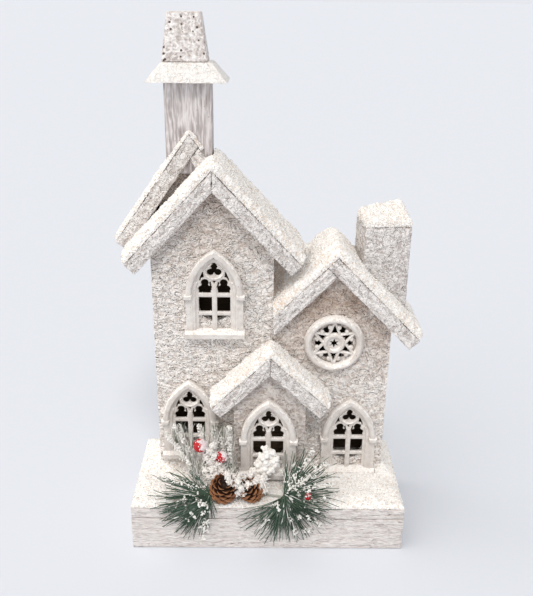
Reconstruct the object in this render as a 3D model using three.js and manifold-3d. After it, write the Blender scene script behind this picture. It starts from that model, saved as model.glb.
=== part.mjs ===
// A miniature village house for the holidays: a gabled tower with a steep rear
// gable and a tall chimney, a lower house on its right, a gabled porch, gothic
// tracery windows, a snowy base and a pine sprig. Small lamps light it from inside,
// and their cell box sits in the hollow base.
// Millimetres, +Z up, +X to the viewer's right, +Y away from the viewer.
// The origin is the centre of the underside of the base.

import * as THREE from 'three';
import { mergeVertices } from 'three/addons/utils/BufferGeometryUtils.js';
import Module from 'manifold-3d';

const wasm = await Module();
wasm.setup();

// Clearances, and bounds for cuts that run past the house
const fitGap = 0.3;            // between a piece and a neighbour it is cut to
const runningGap = 0.4;        // round pieces that move
const belowRoofs = 100;
const aboveRoofs = 400;
const farAside = 100;

// Base
const baseWidth = 240;
const baseDepth = 104;
const railHeight = 32.5;
const railThickness = 9;
const topBoardThickness = 10.75;
const bottomPanelThickness = 4;
const baseHeight = railHeight + topBoardThickness;
const baseFrontY = -baseDepth / 2;
const baseBackY = baseDepth / 2;

// Walls and roof boards
const wallThickness = 6;
const wallBackY = 49;
const boardThickness = 12;
const roofBackY = 54;
const roofOverhang = 13;       // of the front roof edges past the walls

// Tower
const towerLeftX = -100;
const towerRightX = 3;
const towerFrontY = 6;
const towerSlope = 47;         // degrees
const towerRidgeZ = 330;       // top of the boards
const towerEaveReach = 73.5;   // from the ridge to the eave corner, level
const towerLeftBoardBackY = 29.5;

// Steep rear gable
const rearRidgeX = -66.5;
const rearRidgeZ = 353;
const rearSlope = 54.7;
const rearEaveReach = 65;
const rearRoofFrontY = 22;
const rearWallFrontY = 30;

// House
const houseRightX = 105.5;
const houseFrontY = 4;
const houseSlope = 45.6;
const houseRidgeX = 56;
const houseRidgeZ = 259;
const houseRightReach = 73;
const houseEaveGap = 2;        // from the tower wall to the left board's plumb end

// Porch
const porchX = 1;
const porchFrontY = -16;
const porchHalfWidth = 31.5;
const porchSlope = 44;
const porchRidgeZ = 175.5;
const porchEaveReach = 51.5;
const porchOverhang = 8;

// Snow
const roofSnow = 7;
const rearSnow = 3;
const yardSnow = 3.5;
const snowInset = 1;           // from the edges of what it lies on

// Tall chimney
const steepleX = -67;
const steepleWidth = 38;
const steepleDepth = 22;
const steepleY = 37;
const steepleTopZ = 393;
const skirtWidth = 65.5;
const skirtDepth = 42;
const skirtHeight = 15;
const capWidth = 39;
const capDepth = 25;
const capTopWidth = 28;
const capTopDepth = 17;
const capHeight = 37;

// House chimney
const stackX = 97;
const stackY = 33;
const stackWidth = 40;
const stackDepth = 36;
const stackTurn = 6;           // degrees, about Z
const stackTopZ = 279;
const stackSnow = 6;

// Gothic window, measured from the middle of the underside of its sill
const windowHalfWidth = 24.5;
const springHeight = 38.5;     // where the arch starts
const archCentre = 21.7;       // how far each arc's centre lies past the middle
const hoodWidth = 5.4;
const hoodDepth = 7.5;
const jambDepth = 5;
const openingHalfWidth = 15.6;
const traceryDepth = 2.6;
const lightReach = 13.4;       // from the middle to a light's outer edge
const headX = 8;               // middle of a light's cusped head
const headHalfWidth = 5;
const lobeRadius = 3.1;
const lobeHeight = 11.5;       // of the head's lobe, above the spring line
const lowTransomHeight = 21.5;
const slipWidth = 1.2;
const sillHeight = 7;
const sillHalfWidth = 26;
const sillDepth = 9;
const stopHeight = 4.5;        // of the label stops that end the hood
const mullionWidth = 4.2;
const transomHeight = 3.6;
const trefoilHeight = 61;
const trefoilReach = 3.3;      // from its middle to the middle of each lobe
const trefoilLobe = 2.4;
const ringHalfWidth = 9;
const ringHalfHeight = 7.4;
const ringBand = 1.7;
const lightSlotRadius = 15;    // of the round-ended slot in the wall behind
const lightSlotLow = 29;
const lightSlotHigh = springHeight + 15.5;

// Round window
const roundRadius = 26;
const roundOpening = 18.4;
const roundDepth = 7;
const hubRadius = 10.2;

// Where the windows sit: middle of the sill's underside
const upperWindow = { x: -47, z: 183 };
const lowerWindow = { x: -71, z: 60 };
const doorWindow = { x: 0, z: 54 };
const rightWindow = { x: 73.5, z: 43.75 };
const roundWindow = { x: 56.2, z: 178 };

// Cell box in the base: the bay fits two cells and their contacts, the switch has its own
const boxRightInset = 20.9;    // from the base's right side
const boxY = -8;
const boxWall = 1.75;
const boxFaceZ = 0.75;         // its open face, just above the underside
const flangeWidth = 4;
const flangeThickness = 2;
const coverThickness = 2;
const cellDiameter = 14.5;
const cellLength = 50.5;
const cellGap = 0.7;           // between the two cells
const cellSideRoom = 1.4;
const cellBelowRoom = 2.25;    // from the cover to the cells
const cellAboveRoom = 1.75;
const nubRadius = 2.75;
const nubLength = 1;
const contactThickness = 0.5;
const contactHeight = 13;
const contactBow = 4.4;        // how far a leaf stands off its end wall
const shortContactBow = 3;
const switchBay = 11.75;
const cellSpacing = cellDiameter + cellGap;
const cellZ = boxFaceZ + coverThickness + cellBelowRoom + cellDiameter / 2;
const cellBay = cellLength + contactBow + shortContactBow + 2 * contactThickness + 4 * fitGap;
const boxLength = cellBay + switchBay + 3 * boxWall;
const boxWidth = cellSpacing + cellDiameter + 2 * cellSideRoom + 2 * boxWall;
const boxTopZ = cellZ + cellDiameter / 2 + cellAboveRoom + boxWall;
const hingeRadius = 1.6;
const hingePinRadius = 0.8;
const hingePinLength = 1.2;
const gripRidge = 0.35;
const tongueWidth = 9;
const knobTravel = 4;
const knobSize = 5;
const slotPlateZ = 3;
const slotPlateThickness = 1.5;
const carriageThickness = 2;
const switchHeight = 7;

// Lamps
const lampTower = { x: -48, y: 27 };
const lampHouse = { x: 56, y: 30 };
const lampRadius = 2.5;
const lampRimRadius = 2.8;
const lampHeight = 8.5;
const lampBase = 42;           // the lamps stand in their holes in the top board
const leadRadius = 1;

// Pine pick: frosted twigs on a wire that lies on the snow, with sprigs, cones and
// berries. Its places are measured from the top of the base's front edge.
const pickY = 15;
const pickZ = 6.35;
const hubPassY = 8.6;          // where the wire passes the sprigs' hubs
const twigRadius = 1;
const sprigY = 6;              // the sprigs' hubs, on the snow close to the front edge
const sprigZ = 7.55;
const sprigHubRadius = 3.6;
const edgeStandOff = 2.2;      // of the lowest sheet, before the base's front
const edgeDrop = 3;
const edgeReach = 8;           // along a sheet from its hub to the edge
const sprigSheets = 3;         // the sprays of a sprig lie in sheets, one over the other
const sheetSpacing = 1.8;
const sprayFan = 66;           // degrees between two sprays of one sheet
const needlesPerSide = 6;
const needlePitch = 4.3;
const needleAngle = 36;
const needleRadius = 0.5;
const sprayStemRadius = 0.75;
const leftSprig = { x: -55, reach: 44, from: 134, to: 250 };
const rightSprig = { x: 14, reach: 46, from: -140, to: 84 };
const bigConeAt = [-38.5, 6, 17.25];
const smallConeAt = [-15.5, 6.5, 15.25];
const coneRadius = 11.6;
const coneLength = 22;
const smallConeRadius = 9.6;
const smallConeLength = 18;
const coneScales = 16;
const berryRadius = 6;
const smallBerryRadius = 5.2;
const budRadius = 5;

const toRadians = THREE.MathUtils.degToRad;
const rise = (degrees) => Math.tan(toRadians(degrees));
const plumb = (degrees) => boardThickness / Math.cos(toRadians(degrees));

// Booleans: a closed three.js geometry to a solid, and back
function solid(geometry) {
  const bare = geometry.clone();
  bare.deleteAttribute('normal');
  bare.deleteAttribute('uv');
  const merged = mergeVertices(bare, 1e-4);
  return new wasm.Manifold(new wasm.Mesh({
    numProp: 3,
    vertProperties: new Float32Array(merged.attributes.position.array),
    triVerts: new Uint32Array(merged.index.array),
  }));
}

function geometryOf(body) {
  const mesh = body.getMesh();
  const geometry = new THREE.BufferGeometry();
  geometry.setAttribute('position', new THREE.BufferAttribute(mesh.vertProperties, 3));
  geometry.setIndex(new THREE.BufferAttribute(mesh.triVerts, 1));
  geometry.computeVertexNormals();
  return geometry;
}

function fuse(geometries) {
  return geometries.map(solid).reduce((sum, next) => sum.add(next));
}

function cut(geometry, ...cutters) {
  return geometryOf(cutters.map(solid).reduce((body, tool) => body.subtract(tool), solid(geometry)));
}

// A block between two corners
function block(x0, x1, y0, y1, z0, z1) {
  const geometry = new THREE.BoxGeometry(1, 1, 1);
  const position = geometry.attributes.position;
  for (let i = 0; i < position.count; i++) {
    position.setXYZ(i,
      position.getX(i) < 0 ? x0 : x1,
      position.getY(i) < 0 ? y0 : y1,
      position.getZ(i) < 0 ? z0 : z1);
  }
  return geometry;
}

function extruded(points) {
  const shape = new THREE.Shape(points.map(([x, y]) => new THREE.Vector2(x, y)));
  return new THREE.ExtrudeGeometry(shape, { depth: 1, bevelEnabled: false, curveSegments: 1 });
}

// A plate standing in the XZ plane, from y0 back to y1, pierced by holes
function upright(points, y0, y1, holes = []) {
  const geometry = extruded(points);
  const position = geometry.attributes.position;
  for (let i = 0; i < position.count; i++) {
    position.setXYZ(i, position.getX(i), position.getZ(i) > 0.5 ? y0 : y1, position.getY(i));
  }
  if (holes.length === 0) return geometry;
  return cut(geometry, ...holes.map((hole) => upright(hole, y0 - 1, y1 + 1)));
}

// A plate lying level, from z0 up to z1, pierced by holes
function level(points, z0, z1, holes = []) {
  const geometry = extruded(points);
  const position = geometry.attributes.position;
  for (let i = 0; i < position.count; i++) {
    position.setZ(i, position.getZ(i) > 0.5 ? z1 : z0);
  }
  if (holes.length === 0) return geometry;
  return cut(geometry, ...holes.map((hole) => level(hole, z0 - 1, z1 + 1)));
}

// A plate standing in the YZ plane, from x0 to x1
function sidePlate(points, x0, x1) {
  const geometry = extruded(points);
  const position = geometry.attributes.position;
  for (let i = 0; i < position.count; i++) {
    position.setXYZ(i, position.getZ(i) > 0.5 ? x1 : x0, position.getX(i), position.getY(i));
  }
  return geometry;
}

// A straight-sided taper between two level rectangles
function taper(x, y, z0, z1, width0, depth0, width1, depth1) {
  const geometry = new THREE.BoxGeometry(1, 1, 1);
  const position = geometry.attributes.position;
  for (let i = 0; i < position.count; i++) {
    const top = position.getZ(i) > 0;
    position.setXYZ(i,
      x + Math.sign(position.getX(i)) * (top ? width1 : width0) / 2,
      y + Math.sign(position.getY(i)) * (top ? depth1 : depth0) / 2,
      top ? z1 : z0);
  }
  return geometry;
}

function circlePoints(x, y, radius, count, start = 0) {
  return Array.from({ length: count }, (_, i) => {
    const angle = start + 2 * Math.PI * i / count;
    return [x + radius * Math.cos(angle), y + radius * Math.sin(angle)];
  });
}

const parts = new THREE.Group();

function add(parent, name, geometry, look) {
  const mesh = new THREE.Mesh(geometry, new THREE.MeshStandardMaterial(look));
  mesh.name = name;
  parent.add(mesh);
  return mesh;
}

const plaster = { color: 0xd9d2cb, roughness: 0.85, metalness: 0 };
const boardWhite = { color: 0xcfc8c2, roughness: 0.8, metalness: 0 };
const baseWhite = { color: 0xd8d0c8, roughness: 0.8, metalness: 0 };
const rawBoard = { color: 0xb08d62, roughness: 0.9, metalness: 0 };
const snow = { color: 0xf6ece0, roughness: 1, metalness: 0 };
const resin = { color: 0xe4ddd5, roughness: 0.55, metalness: 0 };
const blackPlastic = { color: 0x1c1c1e, roughness: 0.5, metalness: 0 };
const spring = { color: 0xb9bcc0, roughness: 0.3, metalness: 1 };

// Roof sections. The outer line of a gable roof, and the line of its underside
function gable(ridgeX, ridgeZ, slope, leftReach, rightReach) {
  const t = rise(slope);
  const drop = plumb(slope);
  return {
    top: (x) => ridgeZ - Math.abs(x - ridgeX) * t,
    under: (x) => ridgeZ - drop - Math.abs(x - ridgeX) * t,
    t, drop, ridgeX, ridgeZ, slope, leftReach, rightReach,
  };
}

const towerRoof = gable((towerLeftX + towerRightX) / 2 + 1.5, towerRidgeZ, towerSlope,
  towerEaveReach, towerEaveReach);
const rearRoof = gable(rearRidgeX, rearRidgeZ, rearSlope, rearEaveReach, rearEaveReach);
const houseRoof = gable(houseRidgeX, houseRidgeZ, houseSlope,
  houseRidgeX - towerRightX - houseEaveGap, houseRightReach);
const porchRoof = gable(porchX, porchRidgeZ, porchSlope, porchEaveReach, porchEaveReach);

// One slope of a gable roof as a section: side is -1 for left, +1 for right. The
// eave is cut square to the board. lap says how the board ends at the ridge: its
// mitre is plumb, or it runs over the other board's end, or butts under it.
function boardSection(roof, side, lap = 'mitre') {
  const angle = toRadians(roof.slope);
  const reach = side < 0 ? roof.leftReach : roof.rightReach;
  const eave = [roof.ridgeX + side * reach, roof.ridgeZ - reach * roof.t];
  const eaveUnder = [
    eave[0] - side * Math.sin(angle) * boardThickness, eave[1] - Math.cos(angle) * boardThickness,
  ];
  const gap = lap === 'mitre' ? fitGap / 2 : fitGap / Math.cos(angle);
  const ends = {
    mitre: [[gap, gap * roof.t], [gap, roof.drop + gap * roof.t]],
    over: [[0, 0], [-roof.drop / (2 * roof.t), roof.drop / 2]],
    under: [
      [(roof.drop + gap) / (2 * roof.t), (roof.drop + gap) / 2],
      [gap / (2 * roof.t), roof.drop + gap / 2],
    ],
  };
  const [topEnd, underEnd] = ends[lap].map(
    ([out, down]) => [roof.ridgeX + side * out, roof.ridgeZ - down]);
  return [topEnd, eave, eaveUnder, underEnd];
}

// A layer of snow that follows a roof line of three points, left eave, ridge and
// right eave: its edges and ridge are rounded, and its top has soft waves.
function snowBlanket([leftEave, ridge, rightEave], y0, y1, thickness, steps, rows, wave = 0.5) {
  const leftLength = Math.hypot(ridge[0] - leftEave[0], ridge[1] - leftEave[1]);
  const rightLength = Math.hypot(rightEave[0] - ridge[0], rightEave[1] - ridge[1]);
  // a place along the line, s from the ridge, and the direction that faces up there
  const at = (s) => {
    const eave = s < 0 ? leftEave : rightEave;
    const length = s < 0 ? leftLength : rightLength;
    const f = Math.min(1, Math.abs(s) / length);
    const run = (eave[0] - ridge[0]) / length;
    const fall = (eave[1] - ridge[1]) / length;
    return {
      x: ridge[0] + (eave[0] - ridge[0]) * f, z: ridge[1] + (eave[1] - ridge[1]) * f,
      nx: -Math.sign(run) * fall, nz: Math.abs(run),
    };
  };
  const roundEdge = (d) => Math.sqrt(Math.max(0, 1 - (1 - Math.min(1, d / (0.9 * thickness))) ** 2));
  const geometry = new THREE.BoxGeometry(2, 2, 1, 2 * steps, rows, 1);
  const position = geometry.attributes.position;
  for (let i = 0; i < position.count; i++) {
    // steps and rows crowd towards the edges
    const u = position.getX(i);
    const v = position.getY(i);
    const length = u < 0 ? leftLength : rightLength;
    const s = length * Math.sign(u) * (1 - (1 - Math.abs(u)) ** 1.25);
    const y = (y0 + y1) / 2 + (y1 - y0) / 2 * Math.sign(v) * (1 - (1 - Math.abs(v)) ** 1.5);
    const p = at(s);
    if (position.getZ(i) < 0) {
      position.setXYZ(i, p.x, y, p.z);
      continue;
    }
    const before = at(s - thickness);
    const after = at(s + thickness);
    const n = Math.hypot(before.nx + after.nx, before.nz + after.nz);
    const edge = roundEdge(Math.min(length - Math.abs(s), y - y0, y1 - y));
    const h = thickness * (0.3 + 0.7 * edge)
      + wave * edge * Math.sin(s * 0.21 + 1) * Math.cos(y * 0.17 + s * 0.05);
    position.setXYZ(i, p.x + (before.nx + after.nx) / n * h, y, p.z + (before.nz + after.nz) / n * h);
  }
  return geometry;
}

// The roof line lifted by the gap, cut short by the inset at both eaves
function roofLine(roof, leftReach = roof.leftReach, rightReach = roof.rightReach) {
  const lift = fitGap / Math.cos(toRadians(roof.slope));
  const left = leftReach - snowInset;
  const right = rightReach - snowInset;
  return [
    [roof.ridgeX - left, roof.top(roof.ridgeX - left) + lift],
    [roof.ridgeX, roof.ridgeZ + lift],
    [roof.ridgeX + right, roof.top(roof.ridgeX + right) + lift],
  ];
}

// Base: four rails under a top board, and a panel that closes the bottom
const base = new THREE.Group();
parts.add(base);

const neckRight = baseWidth / 2 - boxRightInset;
const neckLeft = neckRight - boxLength;
const neckFront = boxY - boxWidth / 2;
const neckBack = boxY + boxWidth / 2;

function rectangle(x0, x1, y0, y1) {
  return [[x0, y0], [x1, y0], [x1, y1], [x0, y1]];
}

function buildBase() {
  const x = baseWidth / 2;
  const inner = x - railThickness;
  const lampHoles = [lampTower, lampHouse].map(
    (lamp) => circlePoints(lamp.x, lamp.y, lampRimRadius + fitGap, 16));
  add(base, 'base_top_board',
    level(rectangle(-x, x, baseFrontY, baseBackY), railHeight, baseHeight, lampHoles), baseWhite);
  add(base, 'base_front_rail',
    block(-x, x, baseFrontY, baseFrontY + railThickness, 0, railHeight), baseWhite);
  add(base, 'base_back_rail',
    block(-x, x, baseBackY - railThickness, baseBackY, 0, railHeight), baseWhite);
  add(base, 'base_left_rail',
    block(-x, -inner, baseFrontY + railThickness, baseBackY - railThickness, 0, railHeight), baseWhite);
  add(base, 'base_right_rail',
    block(inner, x, baseFrontY + railThickness, baseBackY - railThickness, 0, railHeight), baseWhite);
  const neckHole = rectangle(neckLeft - fitGap, neckRight + fitGap, neckFront - fitGap, neckBack + fitGap);
  const panelX = inner - fitGap;
  const panelY = baseBackY - railThickness - fitGap;
  add(base, 'base_bottom_panel',
    level(rectangle(-panelX, panelX, -panelY, panelY), 0, bottomPanelThickness, [neckHole]), rawBoard);
}

// Walls: gable boards at the front and back, and side boards between them
const walls = new THREE.Group();
parts.add(walls);

// The underside of the steep rear boards and the tower boards over the back wall
function towerBackOutline() {
  const leftX = towerLeftX;
  const meetX = towerRoof.ridgeX - fitGap;
  const under = (roof, x) => roof.under(x) - fitGap;
  return [
    [leftX, baseHeight], [towerRightX, baseHeight],
    [towerRightX, under(towerRoof, towerRightX)],
    [towerRoof.ridgeX + fitGap, under(towerRoof, towerRoof.ridgeX + fitGap)],
    [meetX, under(towerRoof, towerRoof.ridgeX)],
    [meetX, under(rearRoof, meetX)],
    [rearRoof.ridgeX, under(rearRoof, rearRoof.ridgeX)],
    [leftX, under(rearRoof, leftX)],
  ];
}

function gableOutline(roof, leftX, rightX, bottomZ) {
  const under = (x) => roof.under(x) - fitGap;
  return [
    [leftX, bottomZ], [rightX, bottomZ], [rightX, under(rightX)],
    [roof.ridgeX, under(roof.ridgeX)], [leftX, under(leftX)],
  ];
}

function lightHole(window) {
  const halfRound = (z, start) => circlePoints(window.x, window.z + z, lightSlotRadius, 16, start)
    .slice(0, 9);
  return [...halfRound(lightSlotLow, Math.PI), ...halfRound(lightSlotHigh, 0)];
}

function buildTowerWalls() {
  add(walls, 'tower_front_wall',
    upright(gableOutline(towerRoof, towerLeftX, towerRightX, baseHeight),
      towerFrontY, towerFrontY + wallThickness, [lightHole(upperWindow), lightHole(lowerWindow)]),
    plaster);
  add(walls, 'tower_back_wall',
    upright(towerBackOutline(), wallBackY - wallThickness, wallBackY), plaster);
  const frontInner = towerFrontY + wallThickness;
  const backInner = wallBackY - wallThickness;
  const lowTop = towerRoof.under(towerLeftX) - fitGap;
  const highTop = rearRoof.under(towerLeftX) - fitGap;
  const side = [
    [frontInner, baseHeight], [backInner, baseHeight], [backInner, highTop],
    [rearWallFrontY, highTop], [rearWallFrontY, lowTop], [frontInner, lowTop],
  ];
  add(walls, 'tower_left_wall', sidePlate(side, towerLeftX, towerLeftX + wallThickness), plaster);
  const rightTop = towerRoof.under(towerRightX) - fitGap;
  add(walls, 'tower_right_wall',
    block(towerRightX - wallThickness, towerRightX, frontInner, backInner, baseHeight, rightTop),
    plaster);
  // the gable board under the steep roof's front edge, between the side wall and
  // the tower's right roof board
  const infillLeft = towerLeftX + wallThickness + fitGap;
  const infillRight = towerRoof.ridgeX - fitGap;
  const infillBottom = lowTop - wallThickness;
  const infill = [
    [infillLeft, infillBottom], [infillRight, infillBottom],
    [infillRight, rearRoof.under(infillRight) - fitGap],
    [rearRoof.ridgeX, rearRoof.under(rearRoof.ridgeX) - fitGap],
    [infillLeft, rearRoof.under(infillLeft) - fitGap],
  ];
  add(walls, 'rear_gable_wall',
    upright(infill, rearWallFrontY, rearWallFrontY + wallThickness), plaster);
}

function buildHouseWalls() {
  const left = towerRightX + fitGap;
  add(walls, 'house_front_wall',
    upright(gableOutline(houseRoof, left, houseRightX, baseHeight), houseFrontY,
      houseFrontY + wallThickness,
      [lightHole(rightWindow), circlePoints(roundWindow.x, roundWindow.z, roundOpening - 2, 24)]),
    plaster);
  add(walls, 'house_back_wall',
    upright(gableOutline(houseRoof, left, houseRightX, baseHeight), wallBackY - wallThickness,
      wallBackY), plaster);
  add(walls, 'house_right_wall',
    block(houseRightX - wallThickness, houseRightX, houseFrontY + wallThickness,
      wallBackY - wallThickness, baseHeight, houseRoof.under(houseRightX) - fitGap), plaster);
}

function buildPorchWalls() {
  const left = porchX - porchHalfWidth;
  const right = porchX + porchHalfWidth;
  const wallTop = porchRoof.under(left) - fitGap;
  add(walls, 'porch_front_wall',
    upright(gableOutline(porchRoof, left, right, baseHeight), porchFrontY,
      porchFrontY + wallThickness, [lightHole(doorWindow)]), plaster);
  add(walls, 'porch_left_wall',
    block(left, left + wallThickness, porchFrontY + wallThickness, towerFrontY,
      baseHeight, wallTop), plaster);
  add(walls, 'porch_right_wall',
    block(right - wallThickness, right, porchFrontY + wallThickness, houseFrontY,
      baseHeight, wallTop), plaster);
}

// Roofs
const roofs = new THREE.Group();
parts.add(roofs);

function steepleShaft() {
  const left = steepleX - steepleWidth / 2;
  const front = steepleY - steepleDepth / 2;
  return [left, left + steepleWidth, front, front + steepleDepth];
}

// The outer line of a gable lifted by some height, closed far below
function roofCutter(roof, lift, y0, y1) {
  const far = 120;
  return upright([
    [roof.ridgeX - far, roof.ridgeZ - far * roof.t + lift],
    [roof.ridgeX - far, roof.ridgeZ - far * roof.t - far],
    [roof.ridgeX + far, roof.ridgeZ - far * roof.t - far],
    [roof.ridgeX + far, roof.ridgeZ - far * roof.t + lift],
    [roof.ridgeX, roof.ridgeZ + lift],
  ], y0, y1);
}

function buildTowerRoof() {
  const front = towerFrontY - roofOverhang;
  const snowLift = fitGap / Math.cos(toRadians(towerSlope));
  add(roofs, 'tower_roof_left_board',
    upright(boardSection(towerRoof, -1), front, towerLeftBoardBackY), boardWhite);
  add(roofs, 'tower_roof_right_board',
    upright(boardSection(towerRoof, 1), front, roofBackY), boardWhite);
  // steep rear roof: the left board laps over the right, which ends on the tower roof
  add(roofs, 'rear_roof_left_board',
    cut(upright(boardSection(rearRoof, -1, 'over'), rearRoofFrontY, roofBackY),
      roofCutter(towerRoof, snowLift, rearRoofFrontY - 1, towerLeftBoardBackY + fitGap)), boardWhite);
  add(roofs, 'rear_roof_right_board',
    cut(upright(boardSection(rearRoof, 1, 'under'), rearRoofFrontY, roofBackY),
      roofCutter(towerRoof, snowLift, rearRoofFrontY - 1, towerLeftBoardBackY + fitGap),
      block(towerRoof.ridgeX - fitGap, rearRidgeX + farAside, rearRoofFrontY - 1, roofBackY + 1,
        belowRoofs, aboveRoofs)),
    boardWhite);
  const [x0, x1, y0, y1] = steepleShaft();
  const shaftHole = block(x0 - fitGap, x1 + fitGap, y0 - fitGap, y1 + fitGap, belowRoofs, steepleTopZ);
  // the blanket covers both slopes in front of the steep roof, and the right one behind
  add(roofs, 'tower_roof_snow',
    cut(snowBlanket(roofLine(towerRoof), front + snowInset, roofBackY - snowInset, roofSnow, 7, 6),
      block(towerLeftX - farAside, towerRoof.ridgeX - fitGap, rearRoofFrontY - fitGap, roofBackY + 1,
        belowRoofs, aboveRoofs),
      shaftHole), snow);
  const rearLine = roofLine(rearRoof, rearRoof.leftReach, towerRoof.ridgeX - rearRidgeX);
  add(roofs, 'rear_roof_snow',
    cut(snowBlanket(rearLine, rearRoofFrontY + snowInset, roofBackY - snowInset, rearSnow, 7, 5, 0.3),
      shaftHole,
      roofCutter(towerRoof, snowLift + roofSnow + 6, rearRoofFrontY - 1, towerLeftBoardBackY),
      block(towerRoof.ridgeX - 2 * fitGap, rearRidgeX + farAside, rearRoofFrontY - 1, roofBackY + 1,
        belowRoofs, aboveRoofs)),
    snow);
}

function buildHouseRoof() {
  const front = houseFrontY - roofOverhang + 2;
  const left = boardSection(houseRoof, -1, 'under');
  const plumbEnd = towerRightX + houseEaveGap;
  add(roofs, 'house_roof_left_board',
    cut(upright(left, front, roofBackY),
      block(plumbEnd - farAside, plumbEnd, front - 1, roofBackY + 1, belowRoofs, aboveRoofs)), boardWhite);
  add(roofs, 'house_roof_right_board',
    upright(boardSection(houseRoof, 1, 'over'), front, roofBackY), boardWhite);
  // the snow runs on to the tower wall and is packed plumb against it
  const line = roofLine(houseRoof, houseRidgeX - towerRightX + roofSnow);
  add(roofs, 'house_roof_snow',
    cut(snowBlanket(line, front + snowInset, roofBackY - snowInset, roofSnow, 8, 7),
      block(plumbEnd - farAside, towerRightX + fitGap, front - 1, roofBackY + 1, belowRoofs, aboveRoofs),
      stackBlock(fitGap, belowRoofs, stackTopZ)), snow);
}

function stackBlock(clearance, z0, z1) {
  const geometry = new THREE.BoxGeometry(
    stackWidth + 2 * clearance, stackDepth + 2 * clearance, z1 - z0);
  geometry.rotateZ(toRadians(stackTurn));
  geometry.translate(stackX, stackY, (z0 + z1) / 2);
  return geometry;
}

function buildPorchRoof() {
  const front = porchFrontY - porchOverhang;
  const back = houseFrontY - fitGap;
  add(roofs, 'porch_roof_left_board', upright(boardSection(porchRoof, -1), front, back), boardWhite);
  add(roofs, 'porch_roof_right_board', upright(boardSection(porchRoof, 1), front, back), boardWhite);
  add(roofs, 'porch_roof_snow',
    snowBlanket(roofLine(porchRoof), front + snowInset, back - fitGap, roofSnow - 1, 8, 5), snow);
}

// Chimneys
const chimneys = new THREE.Group();
parts.add(chimneys);

function buildChimneys() {
  const [x0, x1, y0, y1] = steepleShaft();
  const lift = fitGap / Math.cos(toRadians(rearSlope));
  const towerLift = fitGap / Math.cos(toRadians(towerSlope));
  add(chimneys, 'tall_chimney_shaft',
    cut(block(x0, x1, y0, y1, rearRidgeZ - 60, steepleTopZ),
      roofCutter(rearRoof, lift, y0 - 1, y1 + 1), roofCutter(towerRoof, towerLift, y0 - 1, y1 + 1)),
    boardWhite);
  const skirtTop = steepleTopZ + skirtHeight;
  add(chimneys, 'tall_chimney_skirt',
    taper(steepleX, steepleY, steepleTopZ, skirtTop, skirtWidth, skirtDepth, capWidth + 1, capDepth + 1),
    boardWhite);
  add(chimneys, 'tall_chimney_cap',
    taper(steepleX, steepleY, skirtTop, skirtTop + capHeight, capWidth, capDepth, capTopWidth, capTopDepth),
    boardWhite);
  const stackLift = fitGap / Math.cos(toRadians(houseSlope));
  add(chimneys, 'house_chimney',
    cut(stackBlock(0, belowRoofs, stackTopZ), roofCutter(houseRoof, stackLift, -20, 80)), plaster);
  const heap = new THREE.BoxGeometry(stackWidth - 1, stackDepth - 1, stackSnow, 6, 6, 1);
  const position = heap.attributes.position;
  for (let i = 0; i < position.count; i++) {
    const x = position.getX(i) / stackWidth * 2;
    const y = position.getY(i) / stackDepth * 2;
    if (position.getZ(i) > 0) {
      const round = 1 - 0.45 * Math.max(Math.abs(x), Math.abs(y)) ** 6;
      position.setZ(i, stackSnow / 2 * round + 1.6 * x * 0.5 + 1.2 * y);
    }
  }
  heap.rotateZ(toRadians(stackTurn));
  heap.translate(stackX, stackY, stackTopZ + stackSnow / 2);
  add(chimneys, 'house_chimney_snow', heap, snow);
}

// Snow on the base: a drifted sheet round the walls, higher against them
function buildYardSnow() {
  const inset = snowInset;
  const x = baseWidth / 2 - inset;
  const geometry = new THREE.BoxGeometry(1, 1, 1, 22, 8, 1);
  const position = geometry.attributes.position;
  for (let i = 0; i < position.count; i++) {
    const px = position.getX(i) * 2 * x;
    const py = position.getY(i) * (baseDepth - 2 * inset);
    let z = baseHeight;
    if (position.getZ(i) > 0) {
      const edge = Math.min(x - Math.abs(px), baseDepth / 2 - inset - Math.abs(py));
      const toWall = Math.max(0, towerLeftX - px, px - houseRightX, towerFrontY - py);
      const drift = 5 * Math.exp(-toWall / 7);
      z += 0.8 + yardSnow * (1 - Math.exp(-edge / 3)) + drift
        + 0.6 * Math.sin(px * 0.13) * Math.cos(py * 0.2 + px * 0.05);
    }
    position.setXYZ(i, px, py, z);
  }
  const gap = fitGap;
  const high = baseHeight + 60;
  const low = baseHeight - 5;
  const depthOfFrames = hoodDepth + 2;
  const frameHole = (window, wallY) => block(
    window.x - sillHalfWidth - gap, window.x + sillHalfWidth + gap,
    wallY - depthOfFrames, wallY + 1, low, high);
  add(base, 'base_snow', cut(geometry,
    block(towerLeftX - gap, towerRightX + 1, towerFrontY - gap, wallBackY + gap + 20, low, high),
    block(towerRightX - 1, houseRightX + gap, houseFrontY - gap, wallBackY + gap + 20, low, high),
    block(porchX - porchHalfWidth - gap, porchX + porchHalfWidth + gap, porchFrontY - gap,
      towerFrontY + 1, low, high),
    frameHole(rightWindow, houseFrontY)), snow);
}

// Gothic window. Both arcs of a pointed order are centred on the spring line, so
// every order is concentric: half width w has radius w + archCentre.
function archArc(halfWidth, steps) {
  const radius = halfWidth + archCentre;
  const apexAngle = Math.acos(archCentre / radius);
  const right = [];
  for (let i = 0; i <= steps; i++) {
    const a = apexAngle * i / steps;
    right.push([-archCentre + radius * Math.cos(a), springHeight + radius * Math.sin(a)]);
  }
  const left = right.slice(0, -1).reverse().map(([x, z]) => [-x, z]);
  return [...right, ...left];
}

function archPoints(halfWidth, bottomZ, steps) {
  return [[-halfWidth, bottomZ], [halfWidth, bottomZ], ...archArc(halfWidth, steps)];
}

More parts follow.
